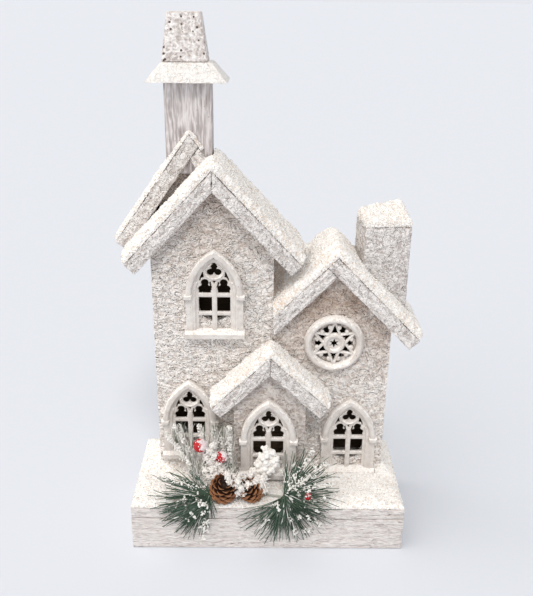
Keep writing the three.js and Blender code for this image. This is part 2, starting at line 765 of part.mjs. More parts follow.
// The outline of a light's head: a round lobe on a wider foot, with cusps between
function cuspedLight(x, halfWidth, bottomZ) {
  const lobeZ = springHeight + lobeHeight;
  const cuspZ = lobeZ - lobeRadius;
  const right = [
    [halfWidth, bottomZ], [halfWidth, cuspZ - 3.8], [halfWidth - 0.9, cuspZ - 1.5],
    [0.6 * lobeRadius, cuspZ],
  ];
  for (let i = 0; i < 3; i++) {
    const a = -0.85 + (Math.PI / 2 + 0.85) * i / 3;
    right.push([lobeRadius * Math.cos(a), lobeZ + lobeRadius * Math.sin(a)]);
  }
  const left = right.slice().reverse().map(([dx, z]) => [-dx, z]);
  return [...right, [0, lobeZ + lobeRadius], ...left].map(([dx, z]) => [x + dx, z]);
}

// Three round lobes about one middle, joined by cusps
function trefoilPoints(x, z) {
  const points = [];
  for (let k = 0; k < 3; k++) {
    const out = Math.PI / 2 + k * 2 * Math.PI / 3;
    for (let i = 0; i <= 4; i++) {
      const a = out - 1.75 + 3.5 * i / 4;
      points.push([
        x + trefoilReach * Math.cos(out) + trefoilLobe * Math.cos(a),
        z + trefoilReach * Math.sin(out) + trefoilLobe * Math.sin(a),
      ]);
    }
  }
  return points;
}

// The pierced plate of the window: panes, cusped heads, trefoil and small slips
function traceryPlate(steps) {
  const half = mullionWidth / 2;
  const lowTransom = lowTransomHeight - transomHeight / 2;
  const highTransom = springHeight - transomHeight / 2;
  const holes = [trefoilPoints(0, trefoilHeight)];
  holes.push([
    [-slipWidth, springHeight + 12.6], [0, springHeight + 10.6], [slipWidth, springHeight + 12.6],
  ]);
  for (const side of [-1, 1]) {
    const inner = side * half;
    const outer = side * lightReach;
    const paneBottom = sillHeight + 0.5;
    holes.push(rectangle(inner, outer, paneBottom, lowTransom));
    holes.push(rectangle(inner, outer, lowTransom + transomHeight, highTransom));
    holes.push(cuspedLight(side * headX, headHalfWidth, highTransom + transomHeight));
    // the dark slip between the ring and the arch, and the one beside the Y branch
    holes.push([[11.3, 14.8], [10.1, 18.7], [8.4, 21.4], [9.2, 18.5], [9.7, 15.8]]
      .map(([x, z]) => [side * x, springHeight + z]));
    holes.push([[2.2, 8], [2.9, 7.4], [3.6, 11.6], [3, 12]]
      .map(([x, z]) => [side * x, springHeight + z]));
  }
  return upright(archPoints(openingHalfWidth + 1, sillHeight - 0.5, steps), -traceryDepth, -0.2, holes);
}

// The raised ring round the trefoil, drawn in towards its top
function trefoilRing() {
  const ring = (halfWidth, halfHeight) => circlePoints(0, 0, 1, 12).map(([x, z]) => [
    halfWidth * x * (1 - 0.2 * Math.max(0, z)), trefoilHeight - 1 + halfHeight * z,
  ]);
  return upright(ring(ringHalfWidth, ringHalfHeight), -traceryDepth - 1.2, -traceryDepth + 0.4,
    [ring(ringHalfWidth - ringBand, ringHalfHeight - ringBand)]);
}

function gothicWindow() {
  const steps = 4;
  const order = (halfWidth, depth, opening) => upright(
    archPoints(halfWidth, sillHeight - 1, steps), -depth, 0,
    [archPoints(opening, sillHeight + 0.5, steps)]);
  const hoodBand = [
    ...archArc(windowHalfWidth, steps), ...archArc(windowHalfWidth - hoodWidth, steps).reverse(),
  ];
  const pieces = [
    order(windowHalfWidth - 0.6, jambDepth, openingHalfWidth + 2.8),
    order(windowHalfWidth - 0.8, jambDepth - 1.3, openingHalfWidth + 1.4),
    order(windowHalfWidth - 1, jambDepth - 2.6, openingHalfWidth),
    traceryPlate(steps),
    trefoilRing(),
    upright(hoodBand, -hoodDepth, -0.3),
  ];
  for (const side of [-1, 1]) {
    const outer = side * (windowHalfWidth + 1.6);
    const inner = side * (windowHalfWidth - 6.2);
    pieces.push(block(Math.min(outer, inner), Math.max(outer, inner), -hoodDepth - 0.8, -0.4,
      springHeight - stopHeight + 2, springHeight + 2));
  }
  // sill with a sloping top
  const sill = block(-sillHalfWidth, sillHalfWidth, -sillDepth, -0.1, 0, sillHeight);
  const position = sill.attributes.position;
  for (let i = 0; i < position.count; i++) {
    if (position.getZ(i) > 1 && position.getY(i) < -1) position.setZ(i, sillHeight - 2);
  }
  pieces.push(sill);
  return geometryOf(fuse(pieces));
}

// Round window: a fat ring, a six-pointed star of bars, and a dished hub
function rosette() {
  const ringHalf = (roundRadius - roundOpening) / 2;
  const ringMiddle = roundOpening + ringHalf;
  const profile = [];
  for (let i = 0; i <= 6; i++) {
    const a = Math.PI * i / 6;
    profile.push(new THREE.Vector2(ringMiddle + ringHalf * Math.cos(a), roundDepth * Math.sin(a)));
  }
  profile.push(profile[0].clone());
  const ring = new THREE.LatheGeometry(profile, 22);
  ring.rotateX(Math.PI);
  const hubProfile = [
    [3.9, 0.4], [hubRadius, 0.4], [hubRadius, 3.6], [hubRadius - 2.2, 4.2], [7, 2.4], [3.9, 2.2], [3.9, 0.4],
  ].map(([r, d]) => new THREE.Vector2(r, d));
  const hub = new THREE.LatheGeometry(hubProfile, 16);
  hub.rotateX(Math.PI);
  const star = [];
  for (let i = 0; i < 6; i++) {
    const a = i * Math.PI / 3;
    star.push(...starBars(a));
  }
  // a thin disc with a seven-pointed hole closes the middle of the hub
  const hole = [];
  for (let i = 0; i < 14; i++) {
    const a = Math.PI / 2 + Math.PI * i / 7;
    const r = i % 2 ? 1.6 : 3.6;
    hole.push([r * Math.cos(a), r * Math.sin(a)]);
  }
  const middle = upright(circlePoints(0, 0, 4.6, 12), -1.8, -0.5, [hole]);
  return geometryOf(fuse([ring, hub, middle, ...star]));
}

// Two bars that meet in a point at the ring, at the given angle from upright
function starBars(angle) {
  const tip = [Math.sin(angle) * (roundOpening + 1.2), Math.cos(angle) * (roundOpening + 1.2)];
  return [-1, 1].map((side) => {
    const footAngle = angle + side * 0.62;
    const foot = [Math.sin(footAngle) * (hubRadius - 1), Math.cos(footAngle) * (hubRadius - 1)];
    const dx = tip[0] - foot[0];
    const dz = tip[1] - foot[1];
    const n = Math.hypot(dx, dz);
    const w = 1.25;
    const across = [-dz / n * w, dx / n * w];
    const points = [
      [foot[0] + across[0], foot[1] + across[1]], [foot[0] - across[0], foot[1] - across[1]],
      [tip[0] - across[0], tip[1] - across[1]], [tip[0] + across[0], tip[1] + across[1]],
    ];
    return upright(points, -3.2, -0.6 - 0.1 * (side + 1));
  });
}

const windows = new THREE.Group();
parts.add(windows);

function placeWindow(name, geometry, place, wallY) {
  const mesh = add(windows, name, geometry, resin);
  mesh.position.set(place.x, wallY - fitGap, place.z);
}

function buildWindows() {
  const frame = gothicWindow();
  placeWindow('upper_window_frame', frame, upperWindow, towerFrontY);
  placeWindow('lower_left_window_frame', frame, lowerWindow, towerFrontY);
  placeWindow('door_window_frame', frame, doorWindow, porchFrontY);
  placeWindow('lower_right_window_frame', frame, rightWindow, houseFrontY);
  placeWindow('round_window_frame', rosette(), roundWindow, houseFrontY);
}

buildBase();
buildTowerWalls();
buildHouseWalls();
buildPorchWalls();
buildTowerRoof();
buildHouseRoof();
buildPorchRoof();
buildChimneys();
buildYardSnow();
buildWindows();

// Cell box: neck, flange, end wall between the cells and the switch
const electrics = new THREE.Group();
parts.add(electrics);

const innerLeft = neckLeft + boxWall;
const innerFront = neckFront + boxWall;
const innerBack = neckBack - boxWall;
const bayRight = innerLeft + cellBay;
const switchLeft = bayRight + boxWall;
const switchRight = neckRight - boxWall;
const switchX = (switchLeft + switchRight) / 2;
const coverGap = runningGap;
const hingeX = innerLeft + runningGap + 0.2 + hingeRadius;
const hingeZ = boxFaceZ + hingeRadius;
const leadHoles = [switchX - 2.5, switchX + 2.5];
const leadZ = 17;

// A round bar along Y
function barAlongY(x, y0, y1, z, radius, sides = 12) {
  return upright(circlePoints(x, z, radius, sides), y0, y1);
}

function buildCellBox() {
  const shell = fuse([
    block(neckLeft, neckRight, neckFront, neckBack, boxFaceZ, boxTopZ),
    block(neckLeft - flangeWidth, neckRight + flangeWidth, neckFront - flangeWidth,
      neckBack + flangeWidth, bottomPanelThickness, bottomPanelThickness + flangeThickness),
  ]);
  const ceiling = boxTopZ - boxWall;
  const slotHalfX = knobSize / 2 + runningGap;
  const slotHalfY = (knobSize + knobTravel) / 2 + runningGap;
  const cutters = [
    block(innerLeft, bayRight, innerFront, innerBack, boxFaceZ - 1, ceiling),
    block(switchLeft, switchRight, innerFront, innerBack, slotPlateZ + slotPlateThickness, ceiling),
    block(switchLeft, switchRight, innerFront, innerBack, boxFaceZ - 1, slotPlateZ),
    block(switchX - slotHalfX, switchX + slotHalfX, boxY - slotHalfY, boxY + slotHalfY, 0, 10),
    // finger notch for the cover's tongue
    block(bayRight - 1, switchLeft + 1, boxY - tongueWidth / 2 - runningGap,
      boxY + tongueWidth / 2 + runningGap, boxFaceZ - 1, slotPlateZ),
    barAlongY(hingeX, neckFront - 1, neckBack + 1, hingeZ, hingePinRadius + fitGap),
    ...leadHoles.map((x) => barAlongY(x, innerBack - 1, neckBack + 1, leadZ, leadRadius + fitGap)),
  ];
  // the wires pass from the cells to the switch over the end wall
  cutters.push(block(bayRight - 1, switchLeft + 1, innerFront + 4, innerBack - 4, ceiling - 3, ceiling));
  add(electrics, 'battery_box',
    geometryOf(cutters.map(solid).reduce((body, tool) => body.subtract(tool), shell)), blackPlastic);
}

function buildCover() {
  const front = innerFront + coverGap;
  const back = innerBack - coverGap;
  const right = bayRight - coverGap;
  const top = boxFaceZ + coverThickness;
  const pieces = [
    block(hingeX, right, front, back, boxFaceZ, top),
    barAlongY(hingeX, front, back, hingeZ, hingeRadius),
    barAlongY(hingeX, front - coverGap - hingePinLength, back + coverGap + hingePinLength, hingeZ,
      hingePinRadius, 8),
    block(right - 2, switchLeft - fitGap, boxY - tongueWidth / 2, boxY + tongueWidth / 2,
      boxFaceZ, boxFaceZ + 1.2),
  ];
  for (let i = 0; i < 4; i++) {
    const x = right - 6 - 3 * i;
    pieces.push(block(x - 0.6, x + 0.6, boxY - 8, boxY + 8, boxFaceZ - gripRidge, boxFaceZ + 0.5));
  }
  add(electrics, 'battery_cover', geometryOf(fuse(pieces)), blackPlastic);
}

// A spring leaf: a flat foot against the end wall and a bowed leaf before it
function contactProfile(wallX, direction, bow) {
  const t = contactThickness;
  const z0 = cellZ - contactHeight / 2;
  const z1 = cellZ + contactHeight / 2;
  return [
    [0, z0], [t, z0], [t, z1 - 2.5], [bow, cellZ + 2], [bow, cellZ - 2], [t + 0.8, z0 + 1.5],
    [t + 1.3, z0 + 1], [bow + t, cellZ - 2.3], [bow + t, cellZ + 2.3], [t, z1], [0, z1],
  ].map(([x, z]) => [wallX + direction * x, z]);
}

function buildCells() {
  const leftWall = innerLeft + fitGap;
  const rightWall = bayRight - fitGap;
  const cellStart = leftWall + contactBow + contactThickness + fitGap;
  const cellEnd = rightWall - shortContactBow - contactThickness - fitGap;
  const rows = [boxY - cellSpacing / 2, boxY + cellSpacing / 2];
  const halfStrip = cellDiameter / 2 - 1.5;
  add(electrics, 'contact_bridge',
    upright(contactProfile(leftWall, 1, contactBow), rows[0] - halfStrip, rows[1] + halfStrip), spring);
  add(electrics, 'contact_negative',
    upright(contactProfile(rightWall, -1, shortContactBow), rows[0] - halfStrip, rows[0] + halfStrip),
    spring);
  add(electrics, 'contact_positive',
    upright(contactProfile(rightWall, -1, shortContactBow), rows[1] - halfStrip, rows[1] + halfStrip),
    spring);
  rows.forEach((y, i) => {
    const flip = i === 0 ? 1 : -1;
    const r = cellDiameter / 2;
    const half = (cellEnd - cellStart) / 2;
    const body = half - nubLength / 2;
    const profile = [
      [0, -body - nubLength / 2], [r - 0.6, -body - nubLength / 2], [r, 0.6 - body - nubLength / 2],
      [r, body - nubLength / 2 - 0.6], [r - 0.6, body - nubLength / 2], [nubRadius, body - nubLength / 2],
      [nubRadius, half], [0, half],
    ].map(([a, b]) => new THREE.Vector2(a, b));
    const geometry = new THREE.LatheGeometry(profile, 16);
    geometry.rotateZ(flip * Math.PI / 2);
    const cell = add(electrics, i === 0 ? 'battery_cell_front' : 'battery_cell_back', geometry,
      { color: 0x2f6b4f, roughness: 0.35, metalness: 0.6 });
    cell.position.set((cellStart + cellEnd) / 2, y, cellZ);
  });
}

function buildSwitch() {
  const restY = boxY - knobTravel / 2;
  const plateTop = slotPlateZ + slotPlateThickness;
  const carriageTop = plateTop + fitGap + carriageThickness;
  add(electrics, 'switch_slider', geometryOf(fuse([
    block(switchX - 4, switchX + 4, restY - 4.5, restY + 4.5, plateTop + fitGap, carriageTop),
    block(switchX - knobSize / 2, switchX + knobSize / 2, restY - knobSize / 2, restY + knobSize / 2,
      boxFaceZ + 0.5, plateTop + 1),
    ...[-1.4, 0, 1.4].map((dy) => block(switchX - knobSize / 2 + 0.3, switchX + knobSize / 2 - 0.3,
      restY + dy - 0.35, restY + dy + 0.35, boxFaceZ + 0.1, boxFaceZ + 1)),
  ])), { color: 0xe8e8e6, roughness: 0.5, metalness: 0 });
  const bodyBottom = carriageTop + fitGap;
  const pins = [-3, 0, 3].map((dy) => block(switchX - 0.6, switchX + 0.6, boxY + dy - 0.3,
    boxY + dy + 0.3, bodyBottom + switchHeight - 1, bodyBottom + switchHeight + 2));
  add(electrics, 'switch_body', geometryOf(fuse([
    block(switchLeft + fitGap, switchRight - fitGap, boxY - 9, boxY + 9, bodyBottom,
      bodyBottom + switchHeight), ...pins,
  ])), spring);
}

// A round lead along a smooth route
function lead(points) {
  const route = new THREE.CatmullRomCurve3(points.map((p) => new THREE.Vector3(...p)), false, 'centripetal');
  const section = new THREE.Shape(circlePoints(0, 0, leadRadius, 8)
    .map(([x, y]) => new THREE.Vector2(x, y)));
  return new THREE.ExtrudeGeometry(section, { steps: 20, bevelEnabled: false, extrudePath: route });
}

function buildLamps() {
  const leadTop = lampBase - 2 * fitGap;
  const dome = lampHeight - lampRadius;
  const profile = [[0, 0], [lampRimRadius, 0], [lampRimRadius, 1], [lampRadius, 1], [lampRadius, dome]];
  for (let i = 1; i <= 4; i++) {
    const a = Math.PI / 8 * i;
    profile.push([i < 4 ? lampRadius * Math.cos(a) : 0, dome + lampRadius * Math.sin(a)]);
  }
  const onPanel = bottomPanelThickness + leadRadius + 3 * fitGap;
  const byRail = baseBackY - railThickness - 4.5;
  const routes = {
    tower: [
      [leadHoles[1], innerBack - 3, leadZ], [leadHoles[1], neckBack + 2, leadZ],
      [leadHoles[1], neckBack + 4, leadZ],
      [leadHoles[1] - 2, 24, 10], [80, byRail - 2.5, onPanel], [58, byRail, onPanel], [0, byRail, onPanel],
      [-32, byRail - 2.5, onPanel], [-44, 30, 11], [lampTower.x, lampTower.y, 21],
      [lampTower.x, lampTower.y, leadTop],
    ],
    house: [
      [leadHoles[0], innerBack - 3, leadZ], [leadHoles[0], neckBack + 2, leadZ],
      [leadHoles[0], neckBack + 4, leadZ],
      [leadHoles[0] - 4, 21, 14], [75, 28, 10], [64, 31, 11], [57, 30.5, 18],
      [lampHouse.x, lampHouse.y, 25], [lampHouse.x, lampHouse.y, leadTop],
    ],
  };
  for (const [place, lamp] of [['tower', lampTower], ['house', lampHouse]]) {
    const geometry = new THREE.LatheGeometry(profile.map(([r, z]) => new THREE.Vector2(r, z)), 12);
    geometry.rotateX(Math.PI / 2);
    add(electrics, `lamp_${place}`, geometry,
      { color: 0xfff2c8, roughness: 0.15, metalness: 0 }).position.set(lamp.x, lamp.y, lampBase);
    add(electrics, `lamp_lead_${place}`, lead(routes[place]), blackPlastic);
  }
}

// Pine pick
const greenery = new THREE.Group();
greenery.position.set(0, baseFrontY, baseHeight);
parts.add(greenery);

const green = { color: 0x3f5a45, roughness: 0.7, metalness: 0 };
const brown = { color: 0x8a5a35, roughness: 0.75, metalness: 0 };

// A three-sided strand through the given points, tapering to a point
function strand(points, radius) {
  const vertices = [];
  const indices = [2, 1, 0];
  const last = points.length - 1;
  const tip = 3 * last;
  points.forEach((p, i) => {
    if (i === last) {
      vertices.push(...p.toArray());
      return;
    }
    const from = points[Math.max(0, i - 1)];
    const along = points[i + 1].clone().sub(from).normalize();
    const side = new THREE.Vector3(0, 0.6, 0.8).cross(along).normalize();
    const up = along.clone().cross(side);
    const r = radius * (1 - 0.5 * i / last);
    for (let k = 0; k < 3; k++) {
      const a = Math.PI / 2 + k * 2 * Math.PI / 3;
      vertices.push(...p.clone().addScaledVector(side, r * Math.cos(a))
        .addScaledVector(up, r * Math.sin(a)).toArray());
      const [here, next] = [3 * i + k, 3 * i + (k + 1) % 3];
      if (i === last - 1) {
        indices.push(here, next, tip);
      } else {
        indices.push(here, next, next + 3, here, next + 3, here + 3);
      }
    }
  });
  const geometry = new THREE.BufferGeometry();
  geometry.setAttribute('position', new THREE.Float32BufferAttribute(vertices, 3));
  geometry.setIndex(indices);
  return geometry;
}

function tube(points, radius, steps, sides = 5) {
  const route = new THREE.CatmullRomCurve3(points.map((p) => new THREE.Vector3(...p)));
  const section = new THREE.Shape(circlePoints(0, 0, radius, sides)
    .map(([x, y]) => new THREE.Vector2(x, y)));
  return new THREE.ExtrudeGeometry(section, { steps, bevelEnabled: false, extrudePath: route });
}

// The sheets of a sprig lean back above its hub, slope to the base's front edge
// below it, and hang down from there. `down` is measured from the hub.
function onSheet(x, down, sheet) {
  const rise = sheetSpacing * sheet;
  const hub = [sprigY - 0.5 * rise, sprigZ + 0.9 * rise];
  const edge = [-edgeStandOff - rise, sprigZ - edgeDrop + 0.35 * rise];
  if (down < 0) return new THREE.Vector3(x, hub[0] - 0.24 * down, hub[1] - 0.97 * down);
  if (down > edgeReach) return new THREE.Vector3(x, edge[0], edge[1] + edgeReach - down);
  const f = down / edgeReach;
  return new THREE.Vector3(x, hub[0] + (edge[0] - hub[0]) * f, hub[1] + (edge[1] - hub[1]) * f);
}

// Points along a straight line on a sheet, with one more wherever the sheet bends
function sheetLine(x0, down0, x1, down1, sheet) {
  const stops = [0, edgeReach]
    .map((d) => (d - down0) / (down1 - down0))
    .filter((t) => t > 0.08 && t < 0.92)
    .sort((a, b) => a - b);
  return [0, ...stops, 1].map((t) => onSheet(x0 + (x1 - x0) * t, down0 + (down1 - down0) * t, sheet));
}

// One spray: a stem with needles to both sides
function spray(x, angle, reach, sheet) {
  const along = [Math.cos(toRadians(angle)), -Math.sin(toRadians(angle))];
  const stemEnd = 0.72 * reach;
  const pieces = [strand(sheetLine(x, 0, x + along[0] * stemEnd, along[1] * stemEnd, sheet),
    sprayStemRadius)];
  for (let i = 0; i < needlesPerSide; i++) {
    for (const side of [-1, 1]) {
      const at = sprigHubRadius + needlePitch * (i + 0.25 + 0.25 * side);
      const tilt = toRadians(angle + side * (needleAngle - i));
      const length = 0.4 * reach * (1 - 0.03 * i) * (1 + 0.08 * Math.sin(3 * i + side + angle));
      const [x0, d0] = [x + along[0] * at, along[1] * at];
      pieces.push(strand(sheetLine(x0, d0, x0 + length * Math.cos(tilt),
        d0 - length * Math.sin(tilt), sheet), needleRadius));
    }
  }
  return pieces;
}

function sprig({ x, reach, from, to }) {
  const hub = new THREE.SphereGeometry(sprigHubRadius, 8, 6);
  hub.translate(x, sprigY - 1, sprigZ + sheetSpacing);
  const pieces = [hub];
  for (let sheet = 0; sheet < sprigSheets; sheet++) {
    for (let angle = from + sprayFan * sheet / sprigSheets; angle <= to; angle += sprayFan) {
      pieces.push(...spray(x, angle, reach * (1 - 0.04 * sheet), sheet));
    }
  }
  return geometryOf(fuse(pieces));
}

// A cone along its axis: a core and scales set round it in a golden spiral
function pineCone(radius, length) {
  const profile = [];
  for (let i = 0; i <= 6; i++) {
    const a = -Math.PI / 2 + Math.PI * i / 6;
    profile.push(new THREE.Vector2(i % 6 ? 0.66 * radius * Math.cos(a) : 0, length / 2 * Math.sin(a)));
  }
  const pieces = [new THREE.LatheGeometry(profile, 8)];
  const golden = Math.PI * (3 - Math.sqrt(5));
  for (let i = 0; i < coneScales; i++) {
    const t = (i + 0.5) / coneScales;
    const height = length * (0.46 - 0.9 * t);
    const girth = radius * Math.sqrt(Math.max(0.1, 1 - (1.75 * height / length) ** 2));
    const scale = new THREE.CylinderGeometry(radius * 0.29, radius * 0.32, radius * 0.13, 5);
    scale.scale(1.25, 1, 1);
    scale.rotateZ(0.5 - t);
    scale.translate(girth - radius * 0.33, 0, 0);
    scale.rotateY(i * golden);
    scale.translate(0, height, 0);
    pieces.push(scale);
  }
  return geometryOf(fuse(pieces));
}

function ball(radius, x, y, z, sides = 9) {
  const geometry = new THREE.SphereGeometry(radius, sides, sides - 3);
  geometry.translate(x, y, z);
  return geometry;
}

function buildGreenery() {
  // the wire passes close behind both hubs and round behind the cones
  const wire = [
    [leftSprig.x - 8, pickY - 5, pickZ], [leftSprig.x, hubPassY, pickZ],
    [bigConeAt[0], pickY, pickZ], [smallConeAt[0], pickY - 0.6, pickZ],
    [rightSprig.x, hubPassY, pickZ], [rightSprig.x + 9, pickY - 5, pickZ],
  ];
  add(greenery, 'frosted_twigs', geometryOf(fuse([
    tube(wire, twigRadius, 16),
    tube([[-61, pickY - 5, pickZ], [-66, 23, 24.75], [-78, 28, 43.75], [-90, 32, 57.75]], twigRadius, 5),
    tube([[-58, pickY - 6, pickZ], [-62, 26, 26.75], [-74, 31, 48.75], [-83, 34, 64.75]], twigRadius, 5),
    tube([[-51, pickY - 5, pickZ], [-55, 23, 22.75], [-57, 28, 44.75], [-61, 34, 64.75]], twigRadius, 5),
    tube([[-28, pickY - 0.6, pickZ], [-32, 22, 24.75], [-34, 27, 46.75], [-34, 31, 65.75]], twigRadius, 5),
  ])), snow);
  add(greenery, 'pine_sprig_left', sprig(leftSprig), green);
  add(greenery, 'pine_sprig_right', sprig(rightSprig), green);
  const bigCone = add(greenery, 'pine_cone_large', pineCone(coneRadius, coneLength), brown);
  bigCone.position.set(...bigConeAt);
  bigCone.rotation.set(toRadians(-60), 0, toRadians(12));
  const smallCone = add(greenery, 'pine_cone_small', pineCone(smallConeRadius, smallConeLength), brown);
  smallCone.position.set(...smallConeAt);
  smallCone.rotation.set(toRadians(-50), 0, toRadians(-48));
  add(greenery, 'berry_spray', geometryOf(fuse([
    tube([[-45, 17, 7.25], [-46, 17, 18.75], [-53, 18, 34.75], [-58, 19, 44.75]], twigRadius, 6),
    tube([[-46, 17, 18.75], [-43.5, 18, 26.75], [-41.2, 19, 35.75]], twigRadius, 4),
    ball(berryRadius, -59.3, 19, 48.75), ball(smallBerryRadius, -41.2, 19, 38.75),
  ])), { color: 0xb3202a, roughness: 0.25, metalness: 0 });
  // the buds stand in a plane before the door: the middle of each, and its size
  const budsY = porchFrontY - baseFrontY - 15;
  const buds = [[-14, 0.3, 15.75, 0.8], [-9.5, -0.5, 20.75, 0.8], [-5.5, -0.5, 26.75, 0.9],
    [-8, 0, 33.75, 0.8], [-1, -0.5, 33.75, 0.9], [5.5, 0, 38.25, 0.85], [-1, 0, 43.75, 0.85]];
  const fork = [-5.5, budsY - 0.5, 26.75];
  add(greenery, 'frosted_bud_cluster', geometryOf(fuse([
    tube([[-13, pickY + 1.2, pickZ + 0.4], [-14, budsY, 14.75], fork, [-1, budsY, 43.75]], twigRadius, 8),
    tube([fork, [0, budsY - 0.3, 32.75], [5.5, budsY, 37.75]], twigRadius, 3),
    tube([fork, [-7, budsY - 0.2, 30.75], [-8, budsY, 33.75]], twigRadius, 2),
    ...buds.map(([x, y, z, size]) => ball(budRadius * size, x, budsY + y, z, 6)),
  ])), snow);
}

buildCellBox();
buildCover();
buildCells();
buildSwitch();
buildLamps();
buildGreenery();

export default parts;
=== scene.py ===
# A miniature village house for the holidays, built up in the order in which the
# real one is put together: base, walls, roof boards, chimneys, windows, snow,
# pine pick. Lengths are written in millimetres and turned into metres in the mesh.
import bpy
import numpy as np
from mathutils import Matrix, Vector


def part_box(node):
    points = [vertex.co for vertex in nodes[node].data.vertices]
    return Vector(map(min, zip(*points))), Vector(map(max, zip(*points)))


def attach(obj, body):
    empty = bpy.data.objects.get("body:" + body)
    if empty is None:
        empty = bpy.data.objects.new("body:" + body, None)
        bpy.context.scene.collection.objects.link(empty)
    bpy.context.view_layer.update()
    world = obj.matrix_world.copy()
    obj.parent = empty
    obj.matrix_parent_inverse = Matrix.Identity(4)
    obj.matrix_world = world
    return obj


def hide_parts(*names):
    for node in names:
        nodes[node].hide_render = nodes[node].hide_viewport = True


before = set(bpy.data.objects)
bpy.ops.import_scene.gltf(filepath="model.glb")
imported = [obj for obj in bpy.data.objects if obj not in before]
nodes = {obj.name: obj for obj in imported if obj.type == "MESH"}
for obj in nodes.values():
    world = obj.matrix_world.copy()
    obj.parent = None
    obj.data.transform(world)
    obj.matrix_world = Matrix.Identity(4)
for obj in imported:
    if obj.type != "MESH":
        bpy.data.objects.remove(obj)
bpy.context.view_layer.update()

# Studio: the camera stands where the photographer's did, looking down by 23
# degrees. The floor is a pale sheet of card that runs out past the picture.
FOCAL_PIXELS, LONG_SIDE = 731.1, 596
PITCH, YAW, ROLL = 0.3973, 0.0077, 0.0114
CAMERA_AT = np.array([-7.31, -568.07, 459.28])

forward = np.array([np.sin(YAW) * np.cos(PITCH), np.cos(YAW) * np.cos(PITCH), -np.sin(PITCH)])
level_right = np.array([np.cos(YAW), -np.sin(YAW), 0.0])
level_up = np.cross(level_right, forward)
right = level_right * np.cos(ROLL) + level_up * np.sin(ROLL)
upwards = level_up * np.cos(ROLL) - level_right * np.sin(ROLL)
camera_data = bpy.data.cameras.new("camera")
camera_data.sensor_width = 36.0
camera_data.lens = FOCAL_PIXELS * camera_data.sensor_width / LONG_SIDE
camera_data.clip_end = 200.0
camera = bpy.data.objects.new("camera", camera_data)
turn = Matrix([right, upwards, -forward]).transposed().to_4x4()
camera.matrix_world = Matrix.Translation(CAMERA_AT / 1000) @ turn
bpy.context.collection.objects.link(camera)
bpy.context.scene.camera = camera


def node_of(tree, kind, inputs, **settings):
    """A shader node with these settings. Each input, by its name or number, is given a
    value, or another node's socket, which is then linked to it."""
    node = tree.nodes.new("ShaderNode" + kind)
    for setting, value in settings.items():
        setattr(node, setting, value)
    for place, value in inputs.items():
        if hasattr(value, "links"):
            tree.links.new(value, node.inputs[place])
        else:
            node.inputs[place].default_value = value
    return node


# rays that see the world itself, straight or in a gloss or glass, find the backdrop
SKY_LEVEL = 0.47
SKY_COLOUR = (0.98, 0.99, 1.0, 1)
BACKDROP_COLOUR = (0.80, 0.815, 0.863, 1)
world = bpy.data.worlds.new("studio")
bpy.context.scene.world = world
world.use_nodes = True
world_tree = world.node_tree
sky = world_tree.nodes["Background"]
sky.inputs["Color"].default_value = SKY_COLOUR
sky.inputs["Strength"].default_value = SKY_LEVEL
backdrop = node_of(world_tree, "Background", {"Color": BACKDROP_COLOUR})
ray = node_of(world_tree, "LightPath", {})
seen = ray.outputs["Is Camera Ray"]
for kind in ("Is Glossy Ray", "Is Transmission Ray"):
    seen = node_of(world_tree, "Math", {0: seen, 1: ray.outputs[kind]}, operation="MAXIMUM").outputs[0]
choice = node_of(world_tree, "MixShader", {0: seen, 1: sky.outputs[0], 2: backdrop.outputs[0]})
world_tree.links.new(choice.outputs[0], world_tree.nodes["World Output"].inputs["Surface"])
# each lamp: energy (pi lights a face square to it at full white), the way towards it,
# how wide it looks in degrees, colour
STUDIO_LAMPS = {
    "ceiling_panel": (1.22, (0.06, -0.58, 0.81), 16, (1.0, 0.975, 0.945)),
    "left_window": (1.75, (-0.74, -0.28, 0.61), 84, (1.0, 0.955, 0.90)),
}
for name, (energy, towards, width, colour) in STUDIO_LAMPS.items():
    lamp_data = bpy.data.lights.new(name, "SUN")
    lamp_data.energy = energy
    lamp_data.angle = np.radians(width)
    lamp_data.color = colour
    lamp = bpy.data.objects.new(name, lamp_data)
    towards = np.array(towards) / np.linalg.norm(towards)
    across = np.cross((0, 1, 0), towards)
    across /= np.linalg.norm(across)
    lamp.matrix_world = Matrix([across, np.cross(towards, across), towards]).transposed().to_4x4()
    bpy.context.collection.objects.link(lamp)
bpy.context.scene.view_settings.view_transform = "Standard"


def material_of(name, roughness, colour=None):
    """A new node material whose shader has this roughness and, if given, colour."""
    material = bpy.data.materials.new(name)
    material.use_nodes = True
    shader = material.node_tree.nodes["Principled BSDF"]
    shader.inputs["Roughness"].default_value = roughness
    shader.inputs["Specular IOR Level"].default_value = 0.3
    if colour:
        shader.inputs["Base Color"].default_value = (*colour, 1)
    return material


def mesh_piece(name, material, smooth_below, points, faces, crest=None, inside=None):
    """An object from points in millimetres and faces given as rows of corners. Edges that
    bend less than `smooth_below` degrees are smooth. `crest` gives each point a value from
    0 in a hollow to 1 on a crest, which the materials colour by. `inside` is a second
    material and a mark for each face that wears it."""
    mesh = bpy.data.meshes.new(name)
    mesh.from_pydata((np.asarray(points) / 1000).tolist(), [], [list(map(int, f)) for f in faces])
    if smooth_below:
        mesh.shade_smooth()
        mesh.set_sharp_from_angle(angle=np.radians(smooth_below))
    mesh.materials.append(material)
    if inside:
        mesh.materials.append(inside[0])
        mesh.polygons.foreach_set("material_index", np.asarray(inside[1], int))
    if crest is not None:
        mesh.attributes.new("crest", "FLOAT", "POINT").data.foreach_set(
            "value", np.clip(crest, 0, 1).astype(np.float32))
    piece = bpy.data.objects.new(name, mesh)
    bpy.context.collection.objects.link(piece)
    return piece


